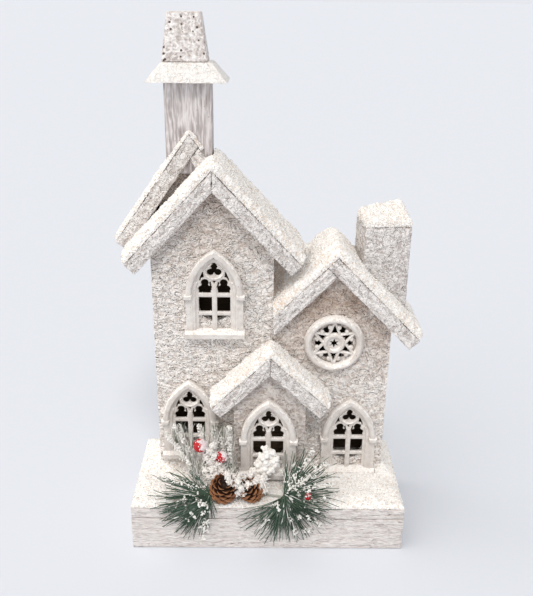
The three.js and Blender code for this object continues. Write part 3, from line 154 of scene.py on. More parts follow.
FLOOR_COLOUR = (0.725, 0.755, 0.815)
FLOOR_HALF = 40000
floor_card = mesh_piece(
    "floor_card", material_of("card", 0.9, FLOOR_COLOUR), None,
    [(x * FLOOR_HALF, y * FLOOR_HALF, 0) for x, y in ((-1, -1), (1, -1), (1, 1), (-1, 1))],
    [(0, 1, 2, 3)])

# Painted plaster coat: boards brushed with a thick glittered white paste that
# dried in wrinkles and chips. Nearly everything wooden in the house wears it.
def unit(vectors):
    """Vectors along the last axis, each divided by its length."""
    return vectors / np.maximum(np.linalg.norm(vectors, axis=-1, keepdims=True), 1e-9)


LATTICE = 32


def ripple(points, size, seed):
    """Smooth noise from -1 to 1: random values stand on a lattice that is `size` apart
    (one number, or one per axis), and are blended with a smooth step along each axis."""
    lattice = np.random.default_rng(seed).uniform(-1, 1, (LATTICE,) * 3)
    p = np.asarray(points) / size
    cell = np.floor(p).astype(int)
    f = p - cell
    f = f * f * (3 - 2 * f)
    total = 0
    for dx in (0, 1):
        for dy in (0, 1):
            for dz in (0, 1):
                weight = (np.abs(1 - dx - f[..., 0]) * np.abs(1 - dy - f[..., 1])
                          * np.abs(1 - dz - f[..., 2]))
                total = total + weight * lattice[tuple(np.moveaxis(
                    (cell + (dx, dy, dz)) % LATTICE, -1, 0))]
    return total


def crinkle(points, size, seed):
    """Wandering creases, 0 to 1: the points are first shifted by ripples, and a crest
    stands wherever a ripple passes through zero, as (1 - its size) cubed. A finer set
    of crests is added at 0.45 of the size."""
    size = np.asarray(size, float) * np.ones(3)
    points = np.asarray(points, float)
    shift = np.stack([ripple(points, size * 1.7, seed + k) for k in range(3)], -1)
    warped = points + 0.45 * size * shift
    coarse = (1 - np.abs(ripple(warped, size, seed + 3))) ** 3
    fine = (1 - np.abs(ripple(warped, size * 0.45, seed + 4))) ** 3
    return 0.62 * coarse + 0.38 * fine


def normals_of(points, faces):
    """The direction that each point faces: the sum of its faces' cross products."""
    a, b = points[faces[:, 2]] - points[faces[:, 0]], points[faces[:, 3]] - points[faces[:, 1]]
    across = np.cross(a, b)
    total = np.zeros_like(points)
    for k in range(4):
        np.add.at(total, faces[:, k], across)
    return unit(total)


def grid_faces(number):
    """The four-cornered faces between the rows and columns of a grid of point numbers."""
    return np.stack([number[:-1, :-1], number[:-1, 1:], number[1:, 1:], number[1:, :-1]],
                    -1).reshape(-1, 4)


EDGE_WEAR, WEAR_REACH = 0.30, 0.9


def slab(corners, step, amount, size, seed, tilt=0.0):
    """A block with eight free corners: each face is a grid that blends its four corners
    in two parameters. Crinkles of up to `amount` stand on it, stretched along a
    direction that rises by `tilt` radians, and its edges are worn back, fading within
    a millimetre. Returns points, faces and crests."""
    corners = np.asarray(corners, float).reshape(2, 2, 2, 3)
    counts = []
    for axis in range(3):
        edges = np.linalg.norm(np.diff(corners, axis=axis), axis=-1)
        counts.append(max(2, int(np.ceil(edges.max() / step)) + 1))
    all_points, all_faces, all_edges, start = [], [], [], 0
    for axis in range(3):
        b, c = [k for k in range(3) if k != axis]
        s = np.linspace(0, 1, counts[b])[:, None, None]
        t = np.linspace(0, 1, counts[c])[None, :, None]
        for side in (0, 1):
            quad = np.take(corners, side, axis=axis)
            grid = ((1 - s) * (1 - t) * quad[0, 0] + s * (1 - t) * quad[1, 0]
                    + (1 - s) * t * quad[0, 1] + s * t * quad[1, 1])
            to_edge = np.minimum(np.minimum(s, 1 - s) * np.linalg.norm(quad[1, 0] - quad[0, 0]),
                                 np.minimum(t, 1 - t) * np.linalg.norm(quad[0, 1] - quad[0, 0]))
            all_edges.append(to_edge.ravel())
            count = counts[b] * counts[c]
            faces = grid_faces(np.arange(count).reshape(counts[b], counts[c]))
            # a grid over (y, z) or (x, y) faces the low side as it is numbered
            if (side == 0) != (axis != 1):
                faces = faces[:, ::-1]
            all_points.append(grid.reshape(-1, 3))
            all_faces.append(faces + start)
            start += count
    points = np.concatenate(all_points)
    faces = np.concatenate(all_faces)
    _, keep, number = np.unique(np.round(points, 4), axis=0, return_index=True, return_inverse=True)
    points = points[keep]
    faces = number.ravel()[faces]
    turned = np.stack([points[:, 0] * np.cos(tilt) + points[:, 2] * np.sin(tilt), points[:, 1],
                       points[:, 2] * np.cos(tilt) - points[:, 0] * np.sin(tilt)], -1)
    worn_and_seam_shaded = np.exp(-np.concatenate(all_edges)[keep] / WEAR_REACH)
    # crests fall near the edges, so the coat takes its hollow colour there: a dark line along the seams that
    # is painted shade, besides the wear
    crest = crinkle(turned, size, seed) * (1 - 0.55 * worn_and_seam_shaded)
    rise = (crest - 0.45) * amount - EDGE_WEAR * worn_and_seam_shaded
    return points + normals_of(points, faces) * rise[:, None], faces, crest


def ramp_of(tree, value, *stops):
    """A colour that runs with the value through stops, each a position and a colour."""
    ramp = node_of(tree, "ValToRGB", {"Fac": value})
    elements = ramp.color_ramp.elements
    for k, (position, colour) in enumerate(stops):
        element = elements[k] if k < 2 else elements.new(position)
        element.position = position
        element.color = (*colour, 1)
    return ramp.outputs["Color"]


def speckle(tree, place, size_mm, dark, light, low=0.35, high=0.65, detail=4.0):
    """Colour that runs between two tones with noise whose blotches are size_mm wide."""
    noise = node_of(tree, "TexNoise", {"Scale": 1000 / size_mm, "Detail": detail, "Vector": place})
    return ramp_of(tree, noise.outputs["Fac"], (low, dark), (high, light))


def blend(tree, mode, amount, first, second):
    """Two colours mixed; each of the three is a value or a socket."""
    return node_of(tree, "Mix", {0: amount, 6: first, 7: second}, data_type="RGBA",
                   blend_type=mode).outputs[2]


BLACK, WHITE = (0, 0, 0), (1, 1, 1)
CREASE_WIDTH = 0.13


def creases(tree, place, size_mm):
    """Thin wandering ridges, 0 to 1: they stand where a twisted noise passes its middle
    value, and fall off on both sides of it."""
    noise = node_of(tree, "TexNoise", {"Scale": 1000 / size_mm, "Detail": 1.0, "Distortion": 0.9,
                                       "Vector": place})
    return ramp_of(tree, noise.outputs["Fac"], (0.5 - CREASE_WIDTH, BLACK), (0.5, WHITE),
                   (0.5 + CREASE_WIDTH, BLACK))


def object_place(tree, stretch=(1, 1, 1)):
    """Object coordinates, stretched so that a pattern runs along an axis."""
    place = node_of(tree, "TexCoord", {}).outputs["Object"]
    if stretch == (1, 1, 1):
        return place
    return node_of(tree, "Mapping", {"Scale": stretch, "Vector": place}).outputs["Vector"]


def new_finish(name, roughness, stretch=(1, 1, 1)):
    """A new material, its node tree, and the place that its patterns read."""
    material = material_of(name, roughness)
    return material, material.node_tree, object_place(material.node_tree, stretch)


def crest_tone(tree, hollow, crest, low=0.15, high=0.6):
    """Colour that runs from hollow to crest with the piece's own crest values. In the plaster and snow
    finishes the hollow colour is painted shade and the crest colour a painted highlight.
    """
    value = node_of(tree, "Attribute", {}, attribute_name="crest")
    return ramp_of(tree, value.outputs["Fac"], (low, hollow), (high, crest))


def finished(material, colour, place, layers=()):
    """The material with this colour, and with bump in layers of (kind, size in mm, height
    in mm): each turns the normal that the layer before it gives."""
    tree = material.node_tree
    shader = tree.nodes["Principled BSDF"]
    tree.links.new(colour, shader.inputs["Base Color"])
    target = shader.inputs["Normal"]
    for kind, size_mm, height_mm in reversed(layers):
        pattern = {"Scale": 1000 / size_mm, "Vector": place}
        if kind == "Crease":
            height = creases(tree, place, size_mm)
        elif kind == "Noise":
            height = node_of(tree, "TexNoise", {**pattern, "Detail": 3.0}).outputs["Fac"]
        else:
            height = node_of(tree, "TexVoronoi", pattern).outputs["Distance"]
        bump = node_of(tree, "Bump", {"Strength": 1.0, "Distance": height_mm / 1000, "Height": height})
        tree.links.new(bump.outputs["Normal"], target)
        target = bump.inputs["Normal"]
    return material


def shaded_towards_top(tree, colour, top_shade, low, high):
    """The colour, multiplied by a blotchy painted shade that grows from the height `low` to `high`: the wall
    darkens towards the roof boards above it.
    """
    place = object_place(tree)
    level = node_of(tree, "SeparateXYZ", {"Vector": place}).outputs["Z"]
    share = node_of(tree, "MapRange", {"From Min": low / 1000, "From Max": high / 1000, "Value": level})
    patchy = speckle(tree, place, 22.0, top_shade, tuple(0.5 + 0.5 * part for part in top_shade), 0.40, 0.62)
    return blend(tree, "MULTIPLY", share.outputs["Result"], colour, patchy)


def plaster_finish(name, hollow, crest, speck, stretch, coarse, depth, top_shade=None):
    """Plaster: grey-brown in its hollows and white on its crests, which is painted shade and painted
    highlight, with thin wandering ridges `coarse` mm apart, raised by bump and painted white as highlights,
    fine specks, and a crusty grain that catches the light.
    `top_shade` is a colour and the heights between which it comes up: painted shade below the roof boards."""
    material, tree, place = new_finish(name, 0.6, stretch)
    tone = crest_tone(tree, hollow, crest)
    ridge_highlights = blend(tree, "MIX", creases(tree, place, coarse), tone, (*crest, 1))
    specks = speckle(tree, place, 1.5, speck, WHITE, 0.30, 0.46, 3.0)
    colour = blend(tree, "MULTIPLY", 0.9, ridge_highlights, specks)
    if top_shade:
        colour = shaded_towards_top(tree, colour, *top_shade)
    return finished(material, colour, place, [
        ("Crease", coarse, 1.25 * depth), ("Crease", 0.5 * coarse, 0.45 * depth),
        ("Noise", 1.2, 0.20 * depth)])


def plain_finish(name, roughness, dark, light, size_mm, stretch=(1, 1, 1), layers=()):
    """Two shades in a cloud whose blotches are size_mm wide, with bump in layers."""
    material, tree, place = new_finish(name, roughness, stretch)
    return finished(material, speckle(tree, place, size_mm, dark, light), place, layers)


# Base: four rails under a top board, all painted with a coat that was brushed
# along them, so that it lies in long low strokes. The bottom is bare hardboard.
def house_piece(name, node, slot, *mesh):
    """A mesh piece that rides the house and takes the place of its solid, if it has one."""
    piece = mesh_piece(name, *mesh)
    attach(piece, "house")
    if node:
        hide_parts(node)


def box_corners(x0, x1, y0, y1, z0, z1):
    """A slab's eight corners, low and high along x, then y, then z."""
    return [[[(x, y, z) for z in (z0, z1)] for y in (y0, y1)] for x in (x0, x1)]


COAT_INSET = 0.22
# the brushed coat's first colour is painted shade in its hollows, its second a painted highlight on its
# crests
base_finish = plaster_finish("brushed_coat", (0.64, 0.58, 0.555), (0.81, 0.765, 0.74),
                             (0.84, 0.79, 0.75), (0.20, 1, 1), 4.0, 0.5)
for name in ("base_top_board", "base_front_rail", "base_back_rail", "base_left_rail",
             "base_right_rail"):
    low, high = np.array(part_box(name)) * 1000
    low, high = low + COAT_INSET, high - COAT_INSET
    corners = box_corners(low[0], high[0], low[1], high[1], low[2], high[2])
    house_piece(name + "_coat", name, "base_board", base_finish, 50,
                *slab(corners, 1.1, 0.36, (6, 6, 1.6), 5))


def dress(name, finish):
    """The solid keeps its shape and wears the finish."""
    nodes[name].data.materials.clear()
    nodes[name].data.materials.append(finish)


dress("base_bottom_panel", plain_finish("hardboard", 0.85, (0.22, 0.13, 0.07), (0.36, 0.23, 0.13), 2.2,
                                        layers=[("Noise", 0.9, 0.12)]))

# Walls: 6 mm boards, the gables sawn to the roof's slopes, with a slot behind each
# gothic window for the lamps' light, and a round hole behind the round one. The
# plaster coat is thick enough to raise their faces.
def cut_plate(fronts, backs, keep, flip):
    """A pierced plate: the faces of a grid that are kept, the same faces at the back, and
    a strip across the thickness wherever a kept face meets one that is left out. Also
    returns which faces are at the back, and which of the grids' points are used."""
    rows, columns = fronts.shape[:2]
    count = rows * columns
    number = np.arange(count).reshape(rows, columns)
    front = grid_faces(number)[keep.ravel()]
    faces = [front[:, ::-1], front + count]
    kept = len(front)
    padded = np.zeros((rows + 1, columns + 1), bool)
    padded[1:-1, 1:-1] = keep
    here, below, left = padded[1:, 1:], padded[1:, :-1], padded[:-1, 1:]
    for edge, first, second in (
            (here & ~below, (0, 0), (1, 0)), (below & ~here, (1, 0), (0, 0)),
            (left & ~here, (0, 0), (0, 1)), (here & ~left, (0, 1), (0, 0))):
        i, j = np.nonzero(edge)
        a = number[i + first[0], j + first[1]]
        b = number[i + second[0], j + second[1]]
        faces.append(np.stack([b, a, a + count, b + count], -1))
    faces = np.concatenate(faces)
    points = np.concatenate([fronts.reshape(-1, 3), backs.reshape(-1, 3)])
    used = np.unique(faces)
    renumber = np.zeros(2 * count, int)
    renumber[used] = np.arange(len(used))
    faces = renumber[faces]
    at_back = np.zeros(len(faces), bool)
    at_back[kept:2 * kept] = True
    return points[used], faces[:, ::-1] if flip else faces, at_back, used


WALL = 6.0
CAD_GAP = 0.3
BOARD = 12.0
GABLES = {"tower": (-47.0, 330.0, 47.0), "rear": (-66.5, 353.0, 54.7),
          "house": (56.0, 259.0, 45.6), "porch": (1.0, 175.5, 44.0)}


def roof_top(gable, x):
    """Height of a gable's board tops over x: the ridge less the slope's fall."""
    ridge_x, ridge_z, slope = GABLES[gable]
    return ridge_z - np.abs(x - ridge_x) * np.tan(np.radians(slope))


def roof_under(gable, x):
    """Height of the undersides of a gable's boards over x, less the gap to the walls."""
    return roof_top(gable, x) - BOARD / np.cos(np.radians(GABLES[gable][2])) - CAD_GAP


def centres(grid):
    """The middle of each of a grid's cells, as the mean of its four corners."""
    return (grid[1:, 1:] + grid[:-1, :-1] + grid[1:, :-1] + grid[:-1, 1:]) / 4


def grid_of(rows, columns):
    """Two rows of values as those of a grid: one changes from row to row, the other from
    column to column."""
    return np.meshgrid(rows, columns, indexing="ij")


# wall coats: painted shade in the hollows, painted highlight on the crests, and specks
SHADED_HOLLOW, LIT_CREST, SPECK = (0.72, 0.635, 0.58), (0.985, 0.945, 0.91), (0.74, 0.65, 0.58)
# both coats darken towards their tops: painted shade below the roof boards
wall_plaster = plaster_finish("wall_plaster", SHADED_HOLLOW, LIT_CREST, SPECK, (0.75, 0.75, 1.15), 6.0, 1.0,
                              ((0.74, 0.66, 0.60), 230, 310))
house_plaster = plaster_finish("house_plaster", SHADED_HOLLOW, LIT_CREST, SPECK, (0.9, 0.9, 0.9), 6.0, 0.9,
                               ((0.57, 0.46, 0.385), 135, 225))
porch_plaster = plaster_finish("porch_plaster", (0.45, 0.385, 0.345), (0.68, 0.63, 0.595), SPECK,
                               (0.8, 0.8, 0.8), 7.0, 0.7)
# inside the walls: bare board, darkened nearly to black below its own brown, as painted shade of the shut
# rooms
shaded_inside_board = plain_finish("shaded_inside_board", 0.9, (0.06, 0.04, 0.025), (0.12, 0.08, 0.05), 9.0, (1, 1, 12))
PLASTER_RISE = 1.25


def wall(node, normal, plane, stops, foot, top, holes=(), step=0.85, bare=None,
         coat=wall_plaster):
    """A wall over (distance along it, share of its height). Its top follows a line, its
    outer face is raised by wrinkles, and corners near a light hole go on to its rim.
    A light hole is a slot: all that lies within a radius of an upright line."""
    along = np.unique(np.concatenate([
        np.linspace(a, b, max(2, int((b - a) / step) + 1)) for a, b in zip(stops, stops[1:])]))
    heights = top(along) - foot
    share = np.linspace(0, 1, int(heights.max() / step) + 1)
    across, rise = grid_of(along, share)
    level = foot + rise * heights[:, None]
    for x, low, high, radius in holes:
        middle = np.clip(level, low, high)
        distance = np.hypot(across - x, level - middle)
        pull = np.where(np.abs(distance - radius) < 0.62 * step, radius / np.maximum(distance, 0.01), 1)
        across, level = x + (across - x) * pull, middle + (level - middle) * pull
    centre_a, centre_z = centres(across), centres(level)
    keep = np.ones(centre_a.shape, bool)
    for x, low, high, radius in holes:
        keep &= np.hypot(centre_a - x, centre_z - np.clip(centre_z, low, high)) > radius
    facing = 0 if normal[0] else 1
    side = normal[facing]

    def stand(depth):
        """The wall's grid, `depth` millimetres out from its plane."""
        points = np.zeros(across.shape + (3,))
        points[..., facing] = plane + side * depth
        points[..., 1 - facing] = across
        points[..., 2] = level
        return points
    outer = stand(0)
    crest = crinkle(outer, (4.2, 4.2, 2.8), 21) + 0.12 * ripple(outer, 1.6, 35)
    edge = np.minimum(across - stops[0], stops[-1] - across)
    outer = stand(PLASTER_RISE * (crest - 0.42) * np.clip(edge / 1.5, 0, 1))
    crest = np.concatenate([crest.ravel(), np.full(crest.size, 0.4)])
    flip = (side < 0) == (facing == 0)
    points, faces, bare_and_shaded, used = cut_plate(outer, stand(-WALL), keep, flip)
    if bare:
        spot = points[faces[:, 0]]
        bare_and_shaded |= bare(spot[:, 0], spot[:, 2])
    house_piece(node + "_plastered", node, "plaster", coat, 60, points, faces, crest[used],
                (shaded_inside_board, bare_and_shaded))


BASE_TOP = 43.25
FRONT, BACK, LEFT, RIGHT = (0, -1), (0, 1), (-1, 0), (1, 0)
TOWER_LEFT, TOWER_RIGHT, TOWER_FRONT = -100, 3, 6
HOUSE_LEFT, HOUSE_RIGHT, HOUSE_FRONT = 3.3, 105.5, 4
PORCH_LEFT, PORCH_RIGHT, PORCH_FRONT = -30.5, 32.5, -16
PORCH_MIDDLE, PORCH_HALF = 1, 31.5
WALL_BACK = 49
SIDE_BACK = WALL_BACK - WALL
TOWER_RIDGE, REAR_RIDGE, HOUSE_RIDGE = [GABLES[gable][0] for gable in ("tower", "rear", "house")]
REAR_END = -47.3
REAR_SEAM = (REAR_END + TOWER_RIDGE) / 2
REAR_FRONT = 30
WINDOWS = {"upper": (-47.0, 6.0, 183.0), "lower_left": (-71.0, 6.0, 60.0),
           "door": (0.0, -16.0, 54.0), "lower_right": (73.5, 4.0, 43.75)}
ROUND_AT = (56.2, 4.0, 178.0)
ROUND_HOLE = 16.4


def behind_porch(x, z):
    """The walls inside the porch, which the coat didn't reach. They wear the near-black inside board, which
    is painted shade over bare board.
    """
    return (np.abs(x - PORCH_MIDDLE) < PORCH_HALF - 0.5) & (z < roof_under("porch", x) - 1)


def light_hole(window):
    """The slot behind a window: its middle line and radius."""
    x, _, z = WINDOWS[window]
    return x, z + 29, z + 54, 15.0


low_side = roof_under("tower", TOWER_LEFT)
high_side = roof_under("rear", TOWER_LEFT)
wall("tower_front_wall", FRONT, TOWER_FRONT, (TOWER_LEFT, TOWER_RIDGE, TOWER_RIGHT), BASE_TOP,
     lambda x: roof_under("tower", x), (light_hole("upper"), light_hole("lower_left")),
     bare=behind_porch)
wall("tower_back_wall", BACK, WALL_BACK, (TOWER_LEFT, REAR_RIDGE, REAR_END, TOWER_RIDGE, TOWER_RIGHT),
     BASE_TOP, lambda x: np.where(x < REAR_SEAM, roof_under("rear", x), roof_under("tower", x)), step=2.2)
wall("tower_left_wall", LEFT, TOWER_LEFT, (TOWER_FRONT + WALL, REAR_FRONT - 0.02, REAR_FRONT, SIDE_BACK),
     BASE_TOP, lambda y: np.where(y < REAR_FRONT - 0.01, low_side, high_side), step=1.5)
wall("tower_right_wall", RIGHT, TOWER_RIGHT, (TOWER_FRONT + WALL, SIDE_BACK), BASE_TOP,
     lambda y: roof_under("tower", TOWER_RIGHT) + 0 * y, step=1.8)
wall("rear_gable_wall", FRONT, REAR_FRONT, (TOWER_LEFT + WALL + CAD_GAP, REAR_RIDGE, REAR_END),
     low_side - WALL, lambda x: roof_under("rear", x), step=1.6)
wall("house_front_wall", FRONT, HOUSE_FRONT, (HOUSE_LEFT, HOUSE_RIDGE, HOUSE_RIGHT), BASE_TOP,
     lambda x: roof_under("house", x),
     (light_hole("lower_right"), (ROUND_AT[0], ROUND_AT[2], ROUND_AT[2], ROUND_HOLE)),
     bare=behind_porch, coat=house_plaster)
wall("house_back_wall", BACK, WALL_BACK, (HOUSE_LEFT, HOUSE_RIDGE, HOUSE_RIGHT), BASE_TOP,
     lambda x: roof_under("house", x), step=2.2)
wall("house_right_wall", RIGHT, HOUSE_RIGHT, (HOUSE_FRONT + WALL, SIDE_BACK), BASE_TOP,
     lambda y: roof_under("house", HOUSE_RIGHT) + 0 * y, step=1.5)
wall("porch_front_wall", FRONT, PORCH_FRONT, (PORCH_LEFT, PORCH_MIDDLE, PORCH_RIGHT), BASE_TOP,
     lambda x: roof_under("porch", x), (light_hole("door"),), coat=porch_plaster)
wall("porch_left_wall", LEFT, PORCH_LEFT, (PORCH_FRONT + WALL, TOWER_FRONT), BASE_TOP,
     lambda y: roof_under("porch", PORCH_LEFT) + 0 * y, step=1.3)
wall("porch_right_wall", RIGHT, PORCH_RIGHT, (PORCH_FRONT + WALL, HOUSE_FRONT), BASE_TOP,
     lambda y: roof_under("porch", PORCH_RIGHT) + 0 * y, step=1.3)

# Roof boards: 12 mm thick, their front ends coated like the walls. Most meet in a
# plumb mitre; on the rear roof and the house one board laps over the other.
# the boards' first colour is painted shade in their hollows, their second a painted highlight on their
# crests
board_plaster = plaster_finish("board_plaster", (0.58, 0.525, 0.495), (0.92, 0.885, 0.86),
                               (0.66, 0.59, 0.55), (1, 1, 1), 5.0, 0.65)


def roof_board(node, gable, side, reach, front, back, lap="mitre", plumb_end=None):
    """One slope as a slab: its eave end is square to the board, `reach` from the ridge,
    or is cut plumb at the x of `plumb_end`. Its ridge end is as its lap says."""
    ridge_x, ridge_z, slope = GABLES[gable]
    angle = np.radians(slope)
    fall, drop = np.tan(angle), BOARD / np.cos(angle)
    gap = 0 if lap == "mitre" else CAD_GAP / np.cos(angle)
    ends = {
        "mitre": ((gap, gap * fall), (gap, drop + gap * fall)),
        "over": ((0, 0), (-drop / (2 * fall), drop / 2)),
        "under": (((drop + gap) / (2 * fall), (drop + gap) / 2), (gap / (2 * fall), drop + gap / 2)),
    }[lap]
    top_end, under_end = [(ridge_x + side * out, ridge_z - down) for out, down in ends]
    if plumb_end is None:
        eave = (ridge_x + side * reach, ridge_z - reach * fall)
        eave_under = (eave[0] - side * np.sin(angle) * BOARD, eave[1] - np.cos(angle) * BOARD)
    else:
        eave = (plumb_end, roof_top(gable, plumb_end))
        eave_under = (plumb_end, eave[1] - drop)
    columns = [(eave_under, eave), (under_end, top_end)]
    if side > 0:
        columns.reverse()
    corners = [[[(x, y, z) for x, z in column] for y in (front, back)] for column in columns]
    house_piece(node + "_plastered", node, "roof_board", board_plaster, 60,
                *slab(corners, 0.9, 1.2, (11, 4, 2.6), 41, -side * angle))


TOWER_REACH, REAR_REACH, HOUSE_REACH, PORCH_REACH = 73.5, 65, 73, 51.5
ROOF_FRONT, ROOF_BACK = -7, 54
REAR_ROOF_FRONT, PORCH_ROOF_FRONT, PORCH_ROOF_BACK = 22, -24, 3.7
roof_board("tower_roof_left_board", "tower", -1, TOWER_REACH, ROOF_FRONT, REAR_FRONT - 0.5)
roof_board("tower_roof_right_board", "tower", 1, TOWER_REACH, ROOF_FRONT, ROOF_BACK)
roof_board("rear_roof_left_board", "rear", -1, REAR_REACH, REAR_ROOF_FRONT, ROOF_BACK, "over")
roof_board("rear_roof_right_board", "rear", 1, None, REAR_ROOF_FRONT, ROOF_BACK, "under", REAR_END)
roof_board("house_roof_left_board", "house", -1, None, ROOF_FRONT, ROOF_BACK, "under",
           TOWER_RIGHT + CAD_GAP / 2)
roof_board("house_roof_right_board", "house", 1, HOUSE_REACH, ROOF_FRONT, ROOF_BACK, "over")
roof_board("porch_roof_left_board", "porch", -1, PORCH_REACH, PORCH_ROOF_FRONT, PORCH_ROOF_BACK)
roof_board("porch_roof_right_board", "porch", 1, PORCH_REACH, PORCH_ROOF_FRONT, PORCH_ROOF_BACK)

# Tall chimney: a shaft of solid wood whose grain shows through a thin coat, a
# sloping skirt, and a tapered cap whose coat is full of burst bubbles.
def pits(tree, place, base, size_mm, radius_share, chance, colour):
    """Small dark pits: a spot at some of the cells of a pattern size_mm wide. It takes up
    this share of its cell, and `chance` says how many cells have one."""
    cells = node_of(tree, "TexVoronoi", {"Scale": 1000 / size_mm, "Vector": place})
    near = node_of(tree, "Math", {0: cells.outputs["Distance"], 1: radius_share}, operation="LESS_THAN")
    pick = node_of(tree, "SeparateColor", {"Color": cells.outputs["Color"]})
    chosen = node_of(tree, "Math", {0: pick.outputs["Red"], 1: chance}, operation="LESS_THAN")
    both = node_of(tree, "Math", {0: near.outputs[0], 1: chosen.outputs[0]}, operation="MULTIPLY")
    return blend(tree, "MIX", both.outputs[0], base, (*colour, 1))


def pitted_finish(name, hollow, crest, stretch, big, small, layers):
    """Plaster with dark pits in it, big and small ones."""
    material, tree, place = new_finish(name, 0.7, stretch)
    clouds = speckle(tree, place, 2.0, (0.74, 0.70, 0.68), WHITE, 0.34, 0.54)
    coat = blend(tree, "MULTIPLY", 1.0, crest_tone(tree, hollow, crest), clouds)
    round_place = object_place(tree)
    coat = pits(tree, round_place, coat, *small, (0.34, 0.24, 0.18))
    coat = pits(tree, round_place, coat, *big, (0.10, 0.07, 0.055))
    return finished(material, coat, place, layers)


grain_finish = pitted_finish("grained_coat", (0.46, 0.42, 0.41), (0.79, 0.745, 0.74), (1.7, 1.7, 0.16),
                             (9.0, 0.10, 0.60), (4.6, 0.09, 0.35), [("Noise", 1.6, 0.7)])
# the cap's first colour is painted shade in its hollows, its second a painted highlight on its crests
cap_finish = pitted_finish("bubbled_coat", (0.60, 0.54, 0.51), (0.97, 0.94, 0.92), (1, 1, 1),
                           (4.5, 0.20, 0.60), (2.8, 0.15, 0.45),
                           [("Voronoi", 2.6, 1.0), ("Noise", 0.9, 0.3)])
# the skirt's first colour is painted shade in its hollows, its second a painted highlight on its crests
skirt_finish = plaster_finish("skirt_plaster", (0.83, 0.785, 0.745), (0.94, 0.925, 0.90),
                              (0.80, 0.70, 0.62), (1, 1, 1), 4.0, 0.30)


def taper_corners(x, y, z0, z1, width0, depth0, width1, depth1):
    """A slab's eight corners about an upright axis: one width and depth at its foot and
    another at its top."""
    ends = ((width0 / 2, depth0 / 2, z0), (width1 / 2, depth1 / 2, z1))
    return [[[(x + i * half_x, y + j * half_y, z) for half_x, half_y, z in ends]
             for j in (-1, 1)] for i in (-1, 1)]


def chimney_piece(node, corners, amount, size, material, slot="roof_board"):
    """A chimney's part as a slab, coated on all its faces."""
    house_piece(node + "_coated", node, slot, material, 60, *slab(corners, 0.9, amount, size, 61))


SHAFT_X, SHAFT_Y = (-86, -48), (26, 48)
SHAFT_TOP, SKIRT_TOP, CAP_TOP = 393, 408, 444.4
chimney_piece("tall_chimney_shaft", box_corners(*SHAFT_X, *SHAFT_Y, 320, SHAFT_TOP),
              0.26, (1.9, 1.9, 22), grain_finish)
chimney_piece("tall_chimney_skirt", taper_corners(-67, 37, SHAFT_TOP, SKIRT_TOP, 65.5, 42, 40, 26),
              0.50, 3.0, skirt_finish)
chimney_piece("tall_chimney_cap", taper_corners(-68.5, 37, SKIRT_TOP, CAP_TOP, 36.4, 25, 26.4, 17),
              0.50, 2.8, cap_finish)

# House chimney: a block of wood, plastered like the walls. It stands a little askew
# across the house roof's right slope, and its foot is sawn to that slope.
STACK_X, STACK_Y, STACK_TOP, STACK_TURN = 97.0, 33.0, 279.0, np.radians(6)
STACK_HALF_X, STACK_HALF_Y = 20, 18


def on_stack(x, y, z):
    """A point beside the chimney's middle, turned with it."""
    return (STACK_X + x * np.cos(STACK_TURN) - y * np.sin(STACK_TURN),
            STACK_Y + x * np.sin(STACK_TURN) + y * np.cos(STACK_TURN), z)


def stack_line(x, y):
    """The chimney's foot and top beside its middle. The foot goes 7 mm into the board."""
    turned_x = on_stack(x, y, 0)[0]
    return [on_stack(x, y, z) for z in (roof_top("house", turned_x) - 7, STACK_TOP)]


chimney_piece("house_chimney", [[stack_line(x, y) for y in (-STACK_HALF_Y, STACK_HALF_Y)]
                                for x in (-STACK_HALF_X, STACK_HALF_X)],
              1.0, (4.2, 4.2, 3.4), board_plaster, "plaster")

# Gothic windows: cast resin frames, smooth and slightly yellow, pinned to the wall.
# The moulds' bubbles left pinholes; snow was dusted on hoods, stops and sills.
def outline_distance(x, z, outline):
    """Distance from each (x, z) to a closed outline, negative inside it: the least
    distance to its edges, signed by whether a line to the right crosses it oddly."""
    start = np.asarray(outline, float)
    end = np.roll(start, -1, axis=0)
    edge = end - start
    dx = x[..., None] - start[:, 0]
    dz = z[..., None] - start[:, 1]
    t = np.clip((dx * edge[:, 0] + dz * edge[:, 1]) / (edge ** 2).sum(1), 0, 1)
    away = np.hypot(dx - t * edge[:, 0], dz - t * edge[:, 1]).min(-1)
    level = z[..., None]
    spans = (start[:, 1] > level) != (end[:, 1] > level)
    rise = np.where(edge[:, 1] == 0, 1, edge[:, 1])
    crosses = spans & (x[..., None] < start[:, 0] + (level - start[:, 1]) * edge[:, 0] / rise)
    return np.where(crosses.sum(-1) % 2, -away, away)


SPRING = 38.5
ARCH_CENTRE = 21.7
HOOD_HALF, OPENING_HALF = 24.5, 15.6
STOP_HALF, STOP_INNER, SILL_HALF = 26.1, 18.6, 26


def arch_distance(x, z, half_width):
    """Distance to a pointed arch on upright sides, negative inside: past the spring
    line each side is an arc about a centre on the other side of the middle."""
    round_part = np.hypot(np.abs(x) + ARCH_CENTRE, z - SPRING) - (half_width + ARCH_CENTRE)
    return np.where(z < SPRING, np.abs(x) - half_width, round_part)


def arc(x, z, radius, first, last, count):
    """Points along a circle's stretch, between two angles in degrees."""
    angles = np.radians(np.linspace(first, last, count))
    return [(x + radius * np.cos(a), z + radius * np.sin(a)) for a in angles]


TREFOIL_Z, LOBE_OUT, LOBE = 61, 3.7, 3.0


